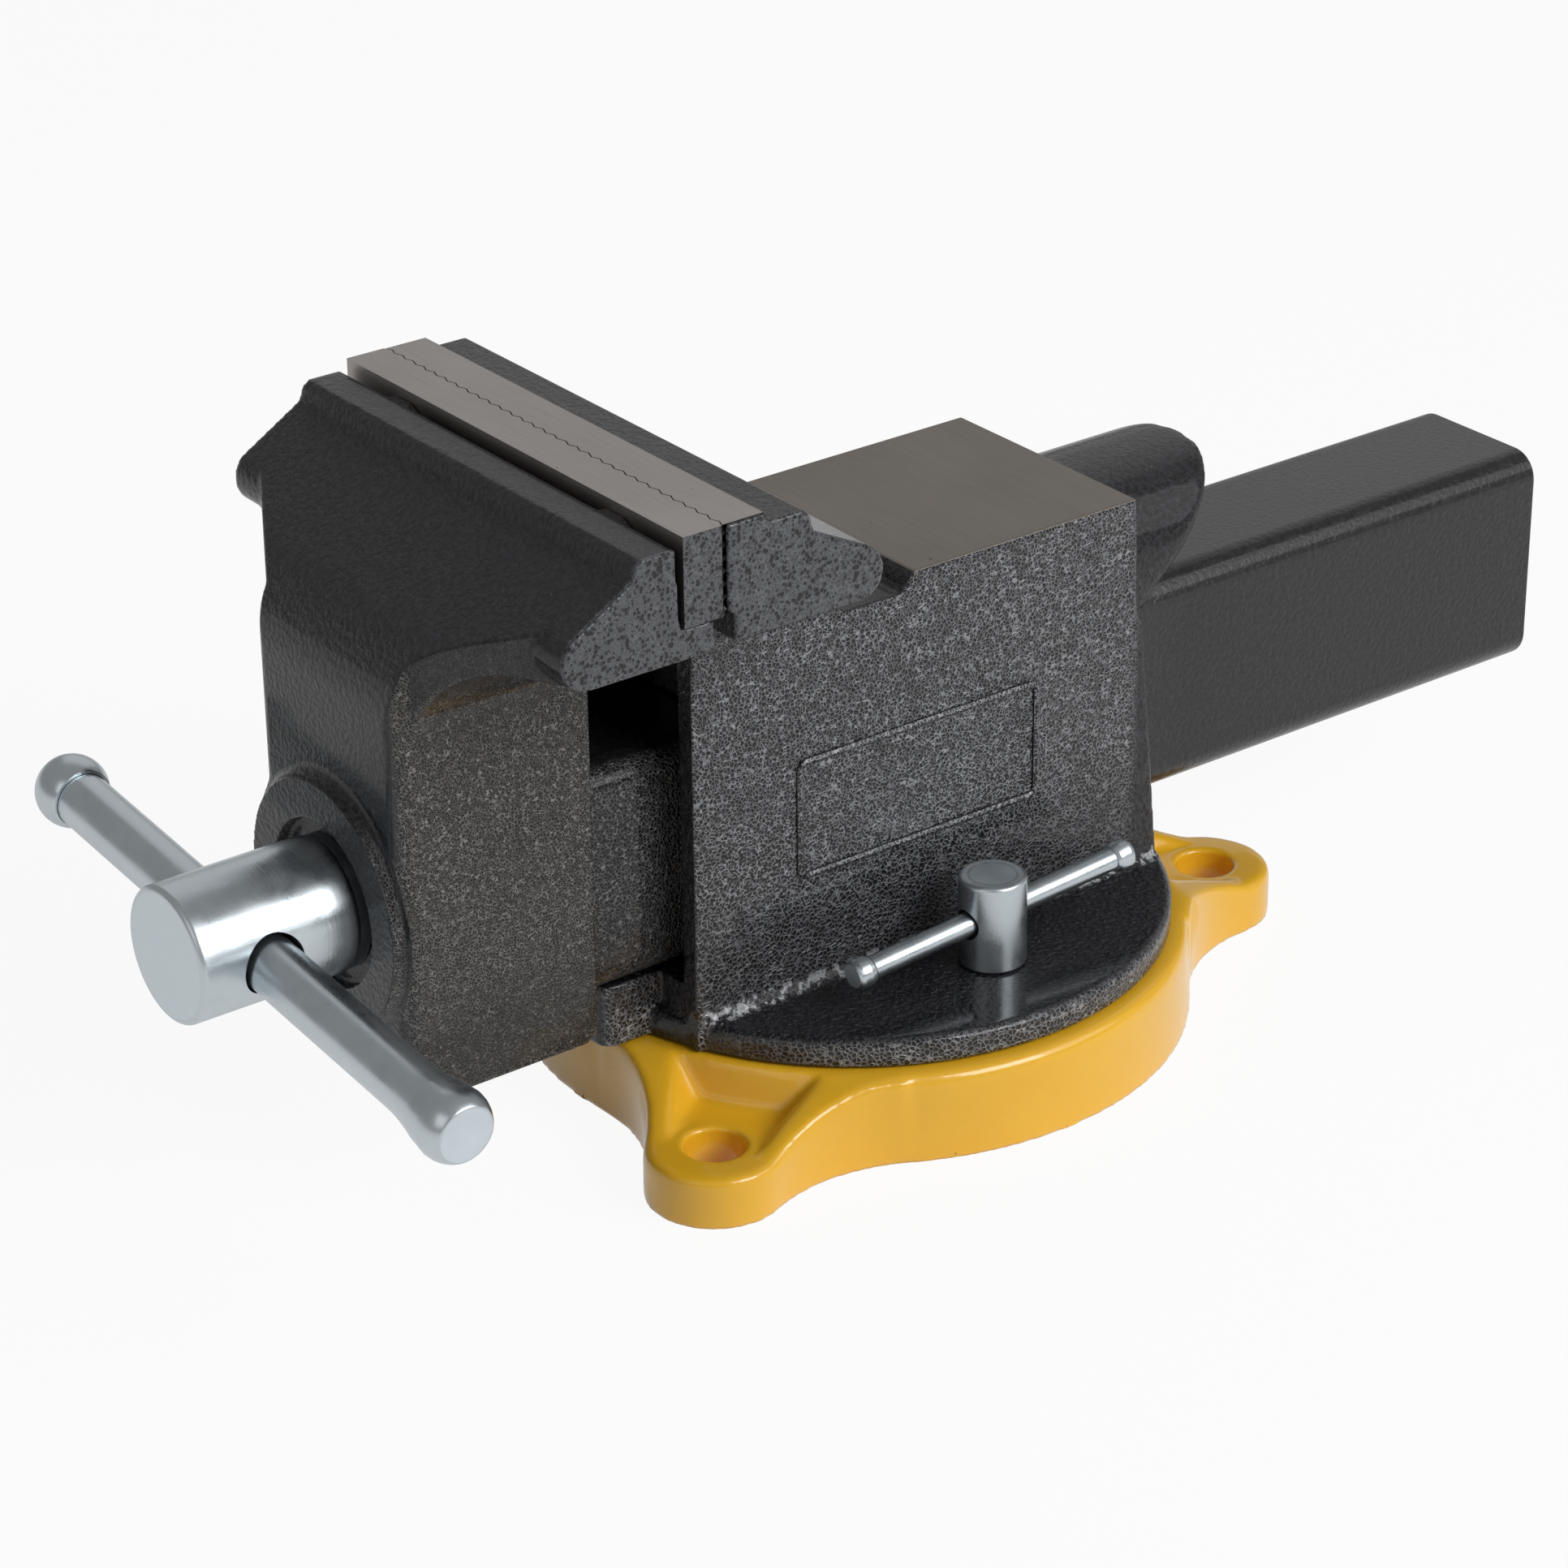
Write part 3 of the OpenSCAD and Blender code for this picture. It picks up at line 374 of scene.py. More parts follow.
# the grinding wheel takes the anvil down to a crisp line
anvil_z = next(m["pos_m"][2] for m in frame["record"]["mounts"] if m["name"] == "anvil_face")
anvil_front, below_z, ground_z = -8.5 * MM, anvil_z - 4 * MM, anvil_z - 0.22 * MM
work = bmesh.new()
work.from_mesh(mesh)
tops = [face for face in work.faces if face.calc_center_median().z > below_z]
bmesh.ops.bisect_plane(
    work,
    geom=[face for face in tops if face.calc_center_median().y > anvil_front]
    + [edge for edge in work.edges if edge.verts[0].co.z > below_z]
    + [vertex for vertex in work.verts if vertex.co.z > below_z],
    plane_co=(0, 0, ground_z),
    plane_no=(0, 0, 1),
)
for face in work.faces:
    middle = face.calc_center_median()
    if middle.y > anvil_front and middle.z > ground_z:
        face.material_index = 1
work.to_mesh(mesh)
work.free()
# the low frame on each side keeps its edges: a bar with a low crown laid on the wall
section = [(0, wall_x - 0.4 * MM), (0, wall_x + 0.45 * MM), (0.08 * MM, wall_x + 0.54 * MM)]
section += [(0.7 * MM, wall_x + 0.9 * MM), (frame_w / 2, wall_x + 0.96 * MM)]
section += [(frame_w - inset, x) for inset, x in reversed(section[:-1])]
per_corner = 6
around = 4 * per_corner
work = bmesh.new()
work.from_mesh(mesh)
for side in (-1, 1):
    loops = []
    for inset, x in section:
        r = frame_r - inset
        loop = []
        for k in range(around):
            quarter, t = divmod(k, per_corner)
            angle = math.pi / 2 * (quarter + t / (per_corner - 1))
            y = frame_y[quarter in (0, 3)] + (inset + r) * (1, -1)[quarter in (0, 3)] + r * math.cos(angle)
            z = frame_z[quarter < 2] + (inset + r) * (1, -1)[quarter < 2] + r * math.sin(angle)
            loop.append(work.verts.new((side * x, y, z)))
        loops.append(loop)
    bars = []
    for one, other in zip(loops, loops[1:] + loops[:1]):
        for k in range(around):
            after = (k + 1) % around
            bars.append(work.faces.new((one[k], one[after], other[after], other[k])))
    bmesh.ops.recalc_face_normals(work, faces=bars)
    for bar in bars:
        bar.smooth = True
        bar.material_index = 2
work.to_mesh(mesh)
work.free()
body = new_piece("fixed_body_casting", mesh, "body", "hammered_paint", hammered, ground_iron, run_paint)
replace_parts(body, "fixed_body")


# ---- Jaw plates ----
# Hardened steel bars screwed to the jaws. Their faces are milled with ribs and then cut across, which leaves
# rows of points; the tops are ground together after painting, and the ends keep the paint.
ground_steel = ground_iron.copy()
ground_steel.name = "ground_hardened_steel"
# the mix of the two tones of the metal gets paler ones, and the mix with the dark pores stays
for item in ground_steel.node_tree.nodes:
    if item.type == "MIX" and item.inputs[6].default_value[0] > 0.1:
        item.inputs[6].default_value = linear("#a19b98")
        item.inputs[7].default_value = linear("#b5afac")

# Tree that cuts grooves along X into a plate, one above the other
grooves = bpy.data.node_groups.new("cross_grooves", "GeometryNodeTree")
grooves.interface.new_socket("Plate", in_out="INPUT", socket_type="NodeSocketGeometry")
for name in ("Pitch", "Width", "Depth", "Length"):
    grooves.interface.new_socket(name, in_out="INPUT", socket_type="NodeSocketFloat")
grooves.interface.new_socket("Rows", in_out="INPUT", socket_type="NodeSocketInt")
grooves.interface.new_socket("First", in_out="INPUT", socket_type="NodeSocketVector")
grooves.interface.new_socket("Steel", in_out="INPUT", socket_type="NodeSocketMaterial")
grooves.interface.new_socket("Plate", in_out="OUTPUT", socket_type="NodeSocketGeometry")
given = add(grooves, "NodeGroupInput").outputs
step = add(grooves, "ShaderNodeCombineXYZ", {"Z": given["Pitch"]})
rows = add(
    grooves,
    "GeometryNodeMeshLine",
    {"Count": given["Rows"], "Start Location": given["First"], "Offset": step},
)
bar = add(grooves, "GeometryNodeMeshCylinder", {"Vertices": 4, "Radius": 1, "Depth": given["Length"]})
half_width = add(grooves, "ShaderNodeMath", {0: given["Width"], 1: 0.5}, operation="MULTIPLY")
shape = add(grooves, "ShaderNodeCombineXYZ", {"X": half_width, "Y": given["Depth"], "Z": 1})
slim = add(grooves, "GeometryNodeTransform", {"Geometry": bar, "Scale": shape})
laid = add(grooves, "GeometryNodeTransform", {"Geometry": slim, "Rotation": (0, math.radians(90), 0)})
cutters = add(grooves, "GeometryNodeInstanceOnPoints", {"Points": rows, "Instance": laid})
real = add(grooves, "GeometryNodeRealizeInstances", {0: cutters})
cut = add(
    grooves, "GeometryNodeMeshBoolean", {"Mesh 1": given["Plate"], "Mesh 2": real}, operation="DIFFERENCE"
)
done = add(grooves, "GeometryNodeSetMaterial", {0: cut.outputs[0], "Material": given["Steel"]})
add(grooves, "NodeGroupOutput", {0: done})


def by_nodes(mesh, group, **values):
    """The mesh after a Geometry Nodes tree, with its inputs set by their names."""
    holder = bpy.data.objects.new("holder", mesh)
    bpy.context.scene.collection.objects.link(holder)
    modifier = holder.modifiers.new("rule", "NODES")
    modifier.node_group = group
    keys = {i.name: i.identifier for i in group.interface.items_tree if i.in_out == "INPUT"}
    for name, value in values.items():
        modifier[keys[name]] = value
    graph = bpy.context.evaluated_depsgraph_get()
    done = bpy.data.meshes.new_from_object(holder.evaluated_get(graph))
    holder.modifiers.remove(modifier)
    bpy.data.objects.remove(holder)
    return done


row_pitch = 2.9 * MM
for node, body_name, inset in (
    ("fixed_jaw_plate", "body", 0.3 * MM),
    ("moving_jaw_plate", "moving", 0.02 * MM),
):
    low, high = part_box(node)
    toothed_y = low.y if body_name == "body" else high.y
    mesh = by_nodes(
        merged_copy(node),
        grooves,
        Pitch=row_pitch,
        Width=2.0 * MM,
        Depth=0.8 * MM,
        Length=high.x - low.x + 4 * MM,
        Rows=7,
        First=(0, toothed_y, low.z + 1.5 * MM),
        Steel=ground_steel,
    )
    work = bmesh.new()
    work.from_mesh(mesh)
    for side in (-1, 1):
        cut = bmesh.ops.bisect_plane(
            work,
            geom=list(work.faces) + list(work.edges) + list(work.verts),
            plane_co=(side * (high.x - inset), 0, 0),
            plane_no=(side, 0, 0),
            clear_outer=True,
        )
        bmesh.ops.holes_fill(work, edges=[e for e in cut["geom_cut"] if isinstance(e, bmesh.types.BMEdge)])
    bmesh.ops.recalc_face_normals(work, faces=work.faces)
    for face in work.faces:
        face.material_index = int(
            abs(face.normal.x) > 0.9 and abs(face.calc_center_median().x) > high.x - 1 * MM
        )
    work.to_mesh(mesh)
    work.free()
    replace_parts(new_piece(node + "_toothed", mesh, body_name, "ground_steel", ground_steel, hammered), node)


# Blackened, oiled steel: almost black, with a soft sheen.
blackened = bpy.data.materials.new("blackened_oiled_steel")
blackened.use_nodes = True
tree = blackened.node_tree
place = add(tree, "ShaderNodeTexCoord").outputs["Object"]
film = add(tree, "ShaderNodeTexNoise", {"Vector": place, "Scale": 300, "Detail": 3})
dark = add(tree, "ShaderNodeMix", {0: film, 6: linear("#242427"), 7: linear("#37373a")}, data_type="RGBA")
shader = tree.nodes["Principled BSDF"]
tree.links.new(dark.outputs[2], shader.inputs["Base Color"])
shader.inputs["Metallic"].default_value = 0.8
shader.inputs["Roughness"].default_value = 0.38


def refinish(material, *nodes):
    """Gives CAD nodes whose shape is already right their material."""
    for node in nodes:
        materials = frame["nodes"][node].data.materials
        materials.clear()
        materials.append(material)


refinish(blackened, "fixed_jaw_screws", "moving_jaw_screws")


# ---- Nut, pivot and clamp nuts ----
# The screw's nut is a bare iron casting on a post, held from below by a socket screw. A zinc-plated bolt and
# washer keep the body on its base, and two black nuts run in the ring slot of the base under the lock bolts.
greased_iron = bpy.data.materials.new("greased_cast_iron")
greased_iron.use_nodes = True
tree = greased_iron.node_tree
place = add(tree, "ShaderNodeTexCoord").outputs["Object"]
grease = add(tree, "ShaderNodeTexNoise", {"Vector": place, "Scale": 120, "Detail": 4})
smear = add(tree, "ShaderNodeMix", {0: grease, 6: linear("#37373a"), 7: linear("#5c5b59")}, data_type="RGBA")
shader = tree.nodes["Principled BSDF"]
tree.links.new(smear.outputs[2], shader.inputs["Base Color"])
shader.inputs["Metallic"].default_value = 0.7
shader.inputs["Roughness"].default_value = 0.45

# Turned steel, zinc plated bluish: bright, slightly cloudy, with soft reflections.
zinc = bpy.data.materials.new("bright_blue_zinc_plate")
zinc.use_nodes = True
tree = zinc.node_tree
place = add(tree, "ShaderNodeTexCoord").outputs["Object"]
cloud = add(tree, "ShaderNodeTexNoise", {"Vector": place, "Scale": 160, "Detail": 4})
blue = add(tree, "ShaderNodeMix", {0: cloud, 6: linear("#bdc7cd"), 7: linear("#d6dde1")}, data_type="RGBA")
rough = add(tree, "ShaderNodeMapRange", {0: cloud, 1: 0.3, 2: 0.7, 3: 0.24, 4: 0.36})
grain = add(tree, "ShaderNodeTexNoise", {"Vector": place, "Scale": 1400, "Detail": 2})
# fine marks of the lathe round the screw's head, and of the drawing die along the handle
along = add(tree, "ShaderNodeMapping", {"Vector": place, "Scale": (30, 2600, 30)})
drawn = add(tree, "ShaderNodeTexNoise", {"Vector": along, "Scale": 1, "Detail": 3})
relief = add(tree, "ShaderNodeMath", {0: drawn, 1: 1.5, 2: grain}, operation="MULTIPLY_ADD")
bump = add(tree, "ShaderNodeBump", {"Height": relief, "Strength": 0.3, "Distance": 0.04 * MM})
shader = tree.nodes["Principled BSDF"]
tree.links.new(blue.outputs[2], shader.inputs["Base Color"])
tree.links.new(rough.outputs[0], shader.inputs["Roughness"])
tree.links.new(bump.outputs[0], shader.inputs["Normal"])
shader.inputs["Metallic"].default_value = 1.0

# the flat ends are faced off and stay duller than the drawn and ground sides
faced_zinc = zinc.copy()
faced_zinc.name = "faced_zinc_plate"
for item in faced_zinc.node_tree.nodes:
    if item.type == "MAP_RANGE":
        item.inputs[3].default_value, item.inputs[4].default_value = 0.4, 0.5
    if item.type == "MIX":
        item.inputs[6].default_value, item.inputs[7].default_value = linear("#cfdae1"), linear("#e2eaee")

refinish(greased_iron, "main_nut")
refinish(blackened, "nut_bolt", "clamp_nuts")
refinish(zinc, "pivot_bolt", "pivot_washer")


# ---- Lock bolts and their bars ----
# Turned from round steel and zinc plated. Each bolt has a cross hole, and its bar lies loose in there: one
# end of the bar is upset into a short barrel, and the other end carries a cap of the same shape, pressed on.
def softened(corners, steps=6):
    """A profile of (radius, height, rounding) corners as plain points, with each rounding as an arc."""
    points = []
    for i, (r, z, rounding) in enumerate(corners):
        here = Vector((r, z))
        if not rounding:
            points.append(here)
            continue
        before = (Vector(corners[i - 1][:2]) - here).normalized()
        after = (Vector(corners[i + 1][:2]) - here).normalized()
        half = before.angle(after) / 2
        reach = rounding / math.tan(half)
        middle = here + (before + after).normalized() * (rounding / math.sin(half))
        start, end = (here + before * reach - middle) / rounding, (here + after * reach - middle) / rounding
        for k in range(steps + 1):
            points.append(middle + start.slerp(end, k / steps) * rounding)
    return points


def turned(corners, place, sides=72, bore=None):
    """A solid turned round Z from its profile, bottom to top, put in place.

    bore is the radius and the matrix of a cross hole. The flat faces get the second material."""
    points = softened(corners)
    work = bmesh.new()
    rings = []
    for r, z in points:
        if r < 1e-7:
            rings.append([work.verts.new((0, 0, z))])
        else:
            turns = [2 * math.pi * k / sides for k in range(sides)]
            rings.append([work.verts.new((r * math.cos(t), r * math.sin(t), z)) for t in turns])
    for low, high in zip(rings, rings[1:]):
        for k in range(sides):
            loop = [low[k % len(low)], low[(k + 1) % len(low)]]
            loop += [high[(k + 1) % len(high)], high[k % len(high)]]
            face = work.faces.new(dict.fromkeys(loop))
            face.material_index = int(abs(low[0].co.z - high[0].co.z) < 0.001 * MM)
    mesh = bpy.data.meshes.new("turned")
    bmesh.ops.recalc_face_normals(work, faces=work.faces)
    work.to_mesh(mesh)
    work.free()
    if bore:
        radius, lie = bore
        drill = bpy.data.meshes.new("drill")
        work = bmesh.new()
        bmesh.ops.create_cone(
            work, segments=72, radius1=radius, radius2=radius, depth=100 * MM, cap_ends=True, matrix=lie
        )
        work.to_mesh(drill)
        work.free()
        tool = bpy.data.objects.new("drill", drill)
        mesh = with_modifiers(
            mesh, ("BOOLEAN", {"object": tool, "operation": "DIFFERENCE", "solver": "EXACT"})
        )
        bpy.data.objects.remove(tool)
    mesh.shade_smooth()
    mesh.set_sharp_from_angle(angle=math.radians(32))
    mesh = with_modifiers(mesh, ("WEIGHTED_NORMAL", {"keep_sharp": True}))
    mesh.transform(place)
    return mesh


bar_r, bar_l, drum_r, drum_l = 2.75 * MM, 81 * MM, 3.68 * MM, 5 * MM
bar_tilt = math.radians(4)
head_h, cross_r, cap_floor = 21.8 * MM, 3.65 * MM, 1.5 * MM
for side in ("right", "left"):
    low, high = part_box("lock_bolt_" + side)
    middle = (low + high) / 2
    bar_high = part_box("lock_bar_" + side)[1]
    cap_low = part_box("lock_cap_" + side)[0]
    bar_middle = Vector((middle.x, (cap_low.y + bar_high.y) / 2, (cap_low.z + bar_high.z) / 2))
    # the bar's own axis: Z of the profile runs to its back end, which stands a little high
    lie = Matrix.Translation(bar_middle) @ Matrix.Rotation(bar_tilt - math.pi / 2, 4, "X")
    top, seat_z, head_r, shank_r = high.z, high.z - head_h, 7.9 * MM, 5 * MM
    bolt = turned(
        [
            (0, low.z, 0),
            (shank_r, low.z, 0.6 * MM),
            (shank_r, seat_z, 0),
            (head_r, seat_z, 0.5 * MM),
            (head_r, top, 1.0 * MM),
            (5.9 * MM, top, 0),
            (5.6 * MM, top - 0.12 * MM, 0),
            (5.3 * MM, top - 0.02 * MM, 0),
            (0, top - 0.02 * MM, 0),
        ],
        Matrix.Translation((middle.x, middle.y, 0)),
        bore=(cross_r, Matrix.Translation((-middle.x, -middle.y, 0)) @ lie),
    )
    piece = new_piece("lock_bolt_turned_" + side, bolt, "lock_" + side, "zinc_plate", zinc, faced_zinc)
    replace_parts(piece, "lock_bolt_" + side)
    half = bar_l / 2
    drum = [
        (bar_r, half - drum_l, 0),
        (bar_r + 0.35 * MM, half - drum_l, 0),
        (drum_r - 0.22 * MM, half - drum_l + 0.7 * MM, 0.4 * MM),
        (drum_r, half - drum_l + 1.7 * MM, 0.6 * MM),
        (drum_r, half - 1.2 * MM, 0.4 * MM),
        (drum_r - 0.25 * MM, half - 0.4 * MM, 0.25 * MM),
        (drum_r - 0.8 * MM, half, 0.25 * MM),
        (0, half, 0),
    ]
    rod = [(0, 2 * cap_floor - half, 0), (bar_r, 2 * cap_floor - half, 0)]
    mesh = turned(rod + drum, lie, 48)
    piece = new_piece("lock_rod_" + side, mesh, f"lock_{side}_bar", "zinc_plate", zinc, faced_zinc)
    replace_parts(piece, "lock_bar_" + side)
    mouth = bar_r + 0.1 * MM
    cap = [(r, -z, rounding) for r, z, rounding in reversed(drum[1:])]
    cap += [(mouth, drum_l - half, 0), (mouth, cap_floor - half, 0), (0, cap_floor - half, 0)]
    mesh = turned(cap, lie, 48)
    piece = new_piece("lock_bar_end_" + side, mesh, f"lock_{side}_bar", "zinc_plate", zinc, faced_zinc)
    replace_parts(piece, "lock_cap_" + side)


# ---- Slide beam ----
# Square steel tube, sawn off and its edges broken, sprayed with the castings: the paint draws into a net in
# front and lies satin smooth behind. The nut's post comes up through a slot in its floor, and two screws hold
# it in the jaw.
# the light veins of its net are partly painted highlight, as on the castings
beam_paint = hammer_paint(
    "satin_black_paint", 0.9 * MM, 0.9 * MM, (-40 * MM, 85 * MM), grit=0.7, net_colour_and_glint="#7d7d7f"
)

low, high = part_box("slide_beam")
wall, corner_r, broken = 5 * MM, 7 * MM, 0.9 * MM
per_corner = 12
around = 4 * per_corner
work = bmesh.new()


def beam_ring(inset, y):
    """One loop of the tube's rounded square, that far inside its outer faces."""
    w, h, r = (high.x - low.x) / 2 - inset, (high.z - low.z) / 2 - inset, max(corner_r - inset, 1 * MM)
    middle_z = (high.z + low.z) / 2
    ring = []
    for k in range(around):
        quarter, t = divmod(k, per_corner)
        sx, sz = ((1, 1), (-1, 1), (-1, -1), (1, -1))[quarter]
        angle = math.pi / 2 * (quarter + t / (per_corner - 1))
        x, z = sx * (w - r) + r * math.cos(angle), sz * (h - r) + r * math.sin(angle)
        ring.append(work.verts.new((x, y, middle_z + z)))
    return ring


lip = [math.pi / 2 * k / 4 for k in range(5)]
outline = [(broken * (1 - math.sin(t)), low.y + broken * (1 - math.cos(t))) for t in lip]
outline += [(broken * (1 - math.cos(t)), high.y - broken * (1 - math.sin(t))) for t in lip]
outline += [(wall - broken * (1 - math.sin(t)), high.y - broken * (1 - math.cos(t))) for t in lip]
outline += [(wall - broken * (1 - math.cos(t)), low.y + broken * (1 - math.sin(t))) for t in lip]
rings = [beam_ring(inset, y) for inset, y in outline]
for one, other in zip(rings, rings[1:] + rings[:1]):
    for k in range(around):
        after = (k + 1) % around
        work.faces.new((one[k], one[after], other[after], other[k]))
bmesh.ops.remove_doubles(work, verts=work.verts, dist=0.002 * MM)
bmesh.ops.recalc_face_normals(work, faces=work.faces)
tube = bpy.data.meshes.new("tube")
work.to_mesh(tube)
work.free()
# slot for the nut's post, and the two screw holes
nut_low, nut_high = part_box("main_nut")
travel = next(j["range_m"][1] for j in frame["joints"] if j["name"] == "jaw_slide")
work = bmesh.new()
slot_w, slot_y = 16.2 * MM, (nut_low.y - 2 * MM, nut_high.y + travel + 3 * MM)
screw_head_r, screw_hole_r, deep = 5.6 * MM, 3.55 * MM, 12 * MM
reach = Matrix.Diagonal((slot_w, slot_y[1] - slot_y[0], deep, 1))
bmesh.ops.create_cube(work, size=1, matrix=Matrix.Translation((0, sum(slot_y) / 2, low.z)) @ reach)
bolt_low, bolt_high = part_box("beam_bolts")
for y in (bolt_low.y + screw_head_r, bolt_high.y - screw_head_r):
    bmesh.ops.create_cone(
        work,
        segments=32,
        radius1=screw_hole_r,
        radius2=screw_hole_r,
        depth=deep,
        cap_ends=True,
        matrix=Matrix.Translation((0, y, low.z)),
    )
holes = bpy.data.meshes.new("holes")
work.to_mesh(holes)
work.free()
tool = bpy.data.objects.new("holes", holes)
tube = with_modifiers(tube, ("BOOLEAN", {"object": tool, "operation": "DIFFERENCE", "solver": "EXACT"}))
bpy.data.objects.remove(tool)
tube.shade_smooth()
tube.set_sharp_from_angle(angle=math.radians(35))
tube = with_modifiers(tube, ("WEIGHTED_NORMAL", {"keep_sharp": True}))
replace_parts(new_piece("slide_beam_tube", tube, "moving", "beam_paint", beam_paint), "slide_beam")
refinish(blackened, "beam_bolts")


# ---- Moving jaw ----
# Ductile iron casting in the same hammer-finish paint, bored for the screw and socketed on the beam.
# the light veins of its net are partly painted highlight, as on the body
fine_hammered = hammer_paint("hammer_finish_paint_fine", 0.75 * MM, 0.7 * MM, net_colour_and_glint="#8d8a86")
moving = new_piece(
    "moving_jaw_casting",
    cast_skin(merged_copy("moving_jaw"), 0.5 * MM, 4, 180000),
    "moving",
    "hammered_paint",
    fine_hammered,
)
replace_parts(moving, "moving_jaw")


# ---- Main screw ----
# Turned from one steel bar and zinc plated: a round head with a cross hole for the handle, a plain neck, and
# a trapezoidal thread of 5 mm pitch. A washer sits under the head; collar, pin and spring are behind the jaw.
low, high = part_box("main_screw")
handle_low, handle_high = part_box("handle_bar")
cap_low, cap_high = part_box("handle_cap")
handle_tilt = math.radians(5.7)
head_r, neck_r, thread_depth, lead = 15.6 * MM, 11 * MM, 2.3 * MM, 5 * MM
screw_z = (low.z + high.z) / 2
shoulder_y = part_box("thrust_washer")[0].y
thread_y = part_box("screw_collar")[1].y + 2 * MM
hole_y = (handle_low.y + handle_high.y) / 2
# Z of the profiles runs backwards along the screw
screw_place = Matrix.Translation((0, 0, screw_z)) @ Matrix.Rotation(-math.pi / 2, 4, "X")
bore_place = (
    screw_place.inverted()
    @ Matrix.Translation((0, hole_y, screw_z))
    @ Matrix.Rotation(handle_tilt, 4, "Y")
    @ Matrix.Rotation(math.pi / 2, 4, "Y")
)
head = turned(
    [
        (0, low.y, 0),
        (head_r, low.y, 1.5 * MM),
        (head_r, shoulder_y - 0.4 * MM, 0.8 * MM),
        (neck_r, shoulder_y - 0.4 * MM, 0),
        (neck_r, thread_y, 0),
        (0, thread_y, 0),
    ],
    screw_place,
    sides=128,
    bore=(7.3 * MM, bore_place),
)
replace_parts(new_piece("main_screw_head", head, "screw", "zinc_plate", zinc, faced_zinc), "main_screw")

# Tree that cuts a thread into a plain bar along Z
thread = bpy.data.node_groups.new("thread_cutting", "GeometryNodeTree")
for name in ("Radius", "Depth", "Lead", "Length"):
    thread.interface.new_socket(name, in_out="INPUT", socket_type="NodeSocketFloat")
thread.interface.new_socket("Rows", in_out="INPUT", socket_type="NodeSocketInt")
thread.interface.new_socket("Finish", in_out="INPUT", socket_type="NodeSocketMaterial")
thread.interface.new_socket("Screw", in_out="OUTPUT", socket_type="NodeSocketGeometry")
given = add(thread, "NodeGroupInput").outputs
plain = add(
    thread,
    "GeometryNodeMeshCylinder",
    {"Vertices": 48, "Side Segments": given["Rows"], "Radius": given["Radius"], "Depth": given["Length"]},
)
spot = add(thread, "ShaderNodeSeparateXYZ", {0: add(thread, "GeometryNodeInputPosition")})
turn = add(thread, "ShaderNodeMath", {0: spot.outputs["Y"], 1: spot.outputs["X"]}, operation="ARCTAN2")
share = add(thread, "ShaderNodeMath", {0: turn, 1: 2 * math.pi}, operation="DIVIDE")
climbed = add(thread, "ShaderNodeMath", {0: spot.outputs["Z"], 1: given["Lead"]}, operation="DIVIDE")
phase = add(thread, "ShaderNodeMath", {0: climbed, 1: share}, operation="SUBTRACT")
# pingpong runs 0..1..0 over two turns of phase, so the phase is doubled to make one groove a turn
doubled = add(thread, "ShaderNodeMath", {0: phase, 1: 2.0}, operation="MULTIPLY")
saw = add(thread, "ShaderNodeMath", {0: doubled, 1: 1.0}, operation="PINGPONG")
groove = add(thread, "ShaderNodeMapRange", {0: saw, 1: 0.38, 2: 0.62, 3: 0, 4: 1})
from_end = add(thread, "ShaderNodeMath", {0: spot.outputs["Z"]}, operation="ABSOLUTE")
half_length = add(thread, "ShaderNodeMath", {0: given["Length"], 1: 0.5}, operation="MULTIPLY")
to_end = add(thread, "ShaderNodeMath", {0: half_length, 1: from_end}, operation="SUBTRACT")
run_out = add(thread, "ShaderNodeMapRange", {0: to_end, 1: 1 * MM, 2: 4 * MM, 3: 0, 4: 1})
cut_share = add(thread, "ShaderNodeMath", {0: groove, 1: run_out}, operation="MULTIPLY")
depth = add(thread, "ShaderNodeMath", {0: cut_share, 1: given["Depth"]}, operation="MULTIPLY")
sunk = add(thread, "ShaderNodeMath", {0: given["Radius"], 1: depth}, operation="SUBTRACT")
ratio = add(thread, "ShaderNodeMath", {0: sunk, 1: given["Radius"]}, operation="DIVIDE")
squeeze = add(thread, "ShaderNodeCombineXYZ", {"X": ratio, "Y": ratio, "Z": 1})
moved = add(
    thread,
    "ShaderNodeVectorMath",
    {0: add(thread, "GeometryNodeInputPosition"), 1: squeeze},
    operation="MULTIPLY",
)
shaped = add(thread, "GeometryNodeSetPosition", {"Geometry": plain, "Position": moved})
smooth = add(thread, "GeometryNodeSetShadeSmooth", {"Geometry": shaped, "Shade Smooth": True})
real = add(thread, "GeometryNodeRealizeInstances", {0: smooth})
done = add(thread, "GeometryNodeSetMaterial", {0: real, "Material": given["Finish"]})
add(thread, "NodeGroupOutput", {0: done})

length = high.y - thread_y
mesh = by_nodes(
    bpy.data.meshes.new("thread"),
    thread,
    Radius=neck_r,
    Depth=thread_depth,
    Lead=lead,
    Length=length,
    Rows=round(length / lead * 10),
    Finish=zinc,
)
mesh.set_sharp_from_angle(angle=math.radians(50))
mesh.transform(screw_place @ Matrix.Translation((0, 0, (high.y + thread_y) / 2)))
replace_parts(new_piece("main_screw_thread", mesh, "screw", "zinc_plate", zinc), "main_screw")
refinish(zinc, "thrust_washer")
refinish(blackened, "jaw_spring", "screw_collar", "collar_pin")


# ---- Handle ----
# Round steel bar, zinc plated. The right end is forged hot into a flare and a button; after the bar is put
# through the screw head, a cap is pressed over the left end.
rod_r, button_r, button_face_r = 6.4 * MM, 8.4 * MM, 6.6 * MM
button_flat = math.sqrt(button_r**2 - button_face_r**2)
handle_l = 163 * MM
handle_middle = Vector(((cap_low.x + handle_high.x) / 2, hole_y, (cap_high.z + handle_low.z) / 2))
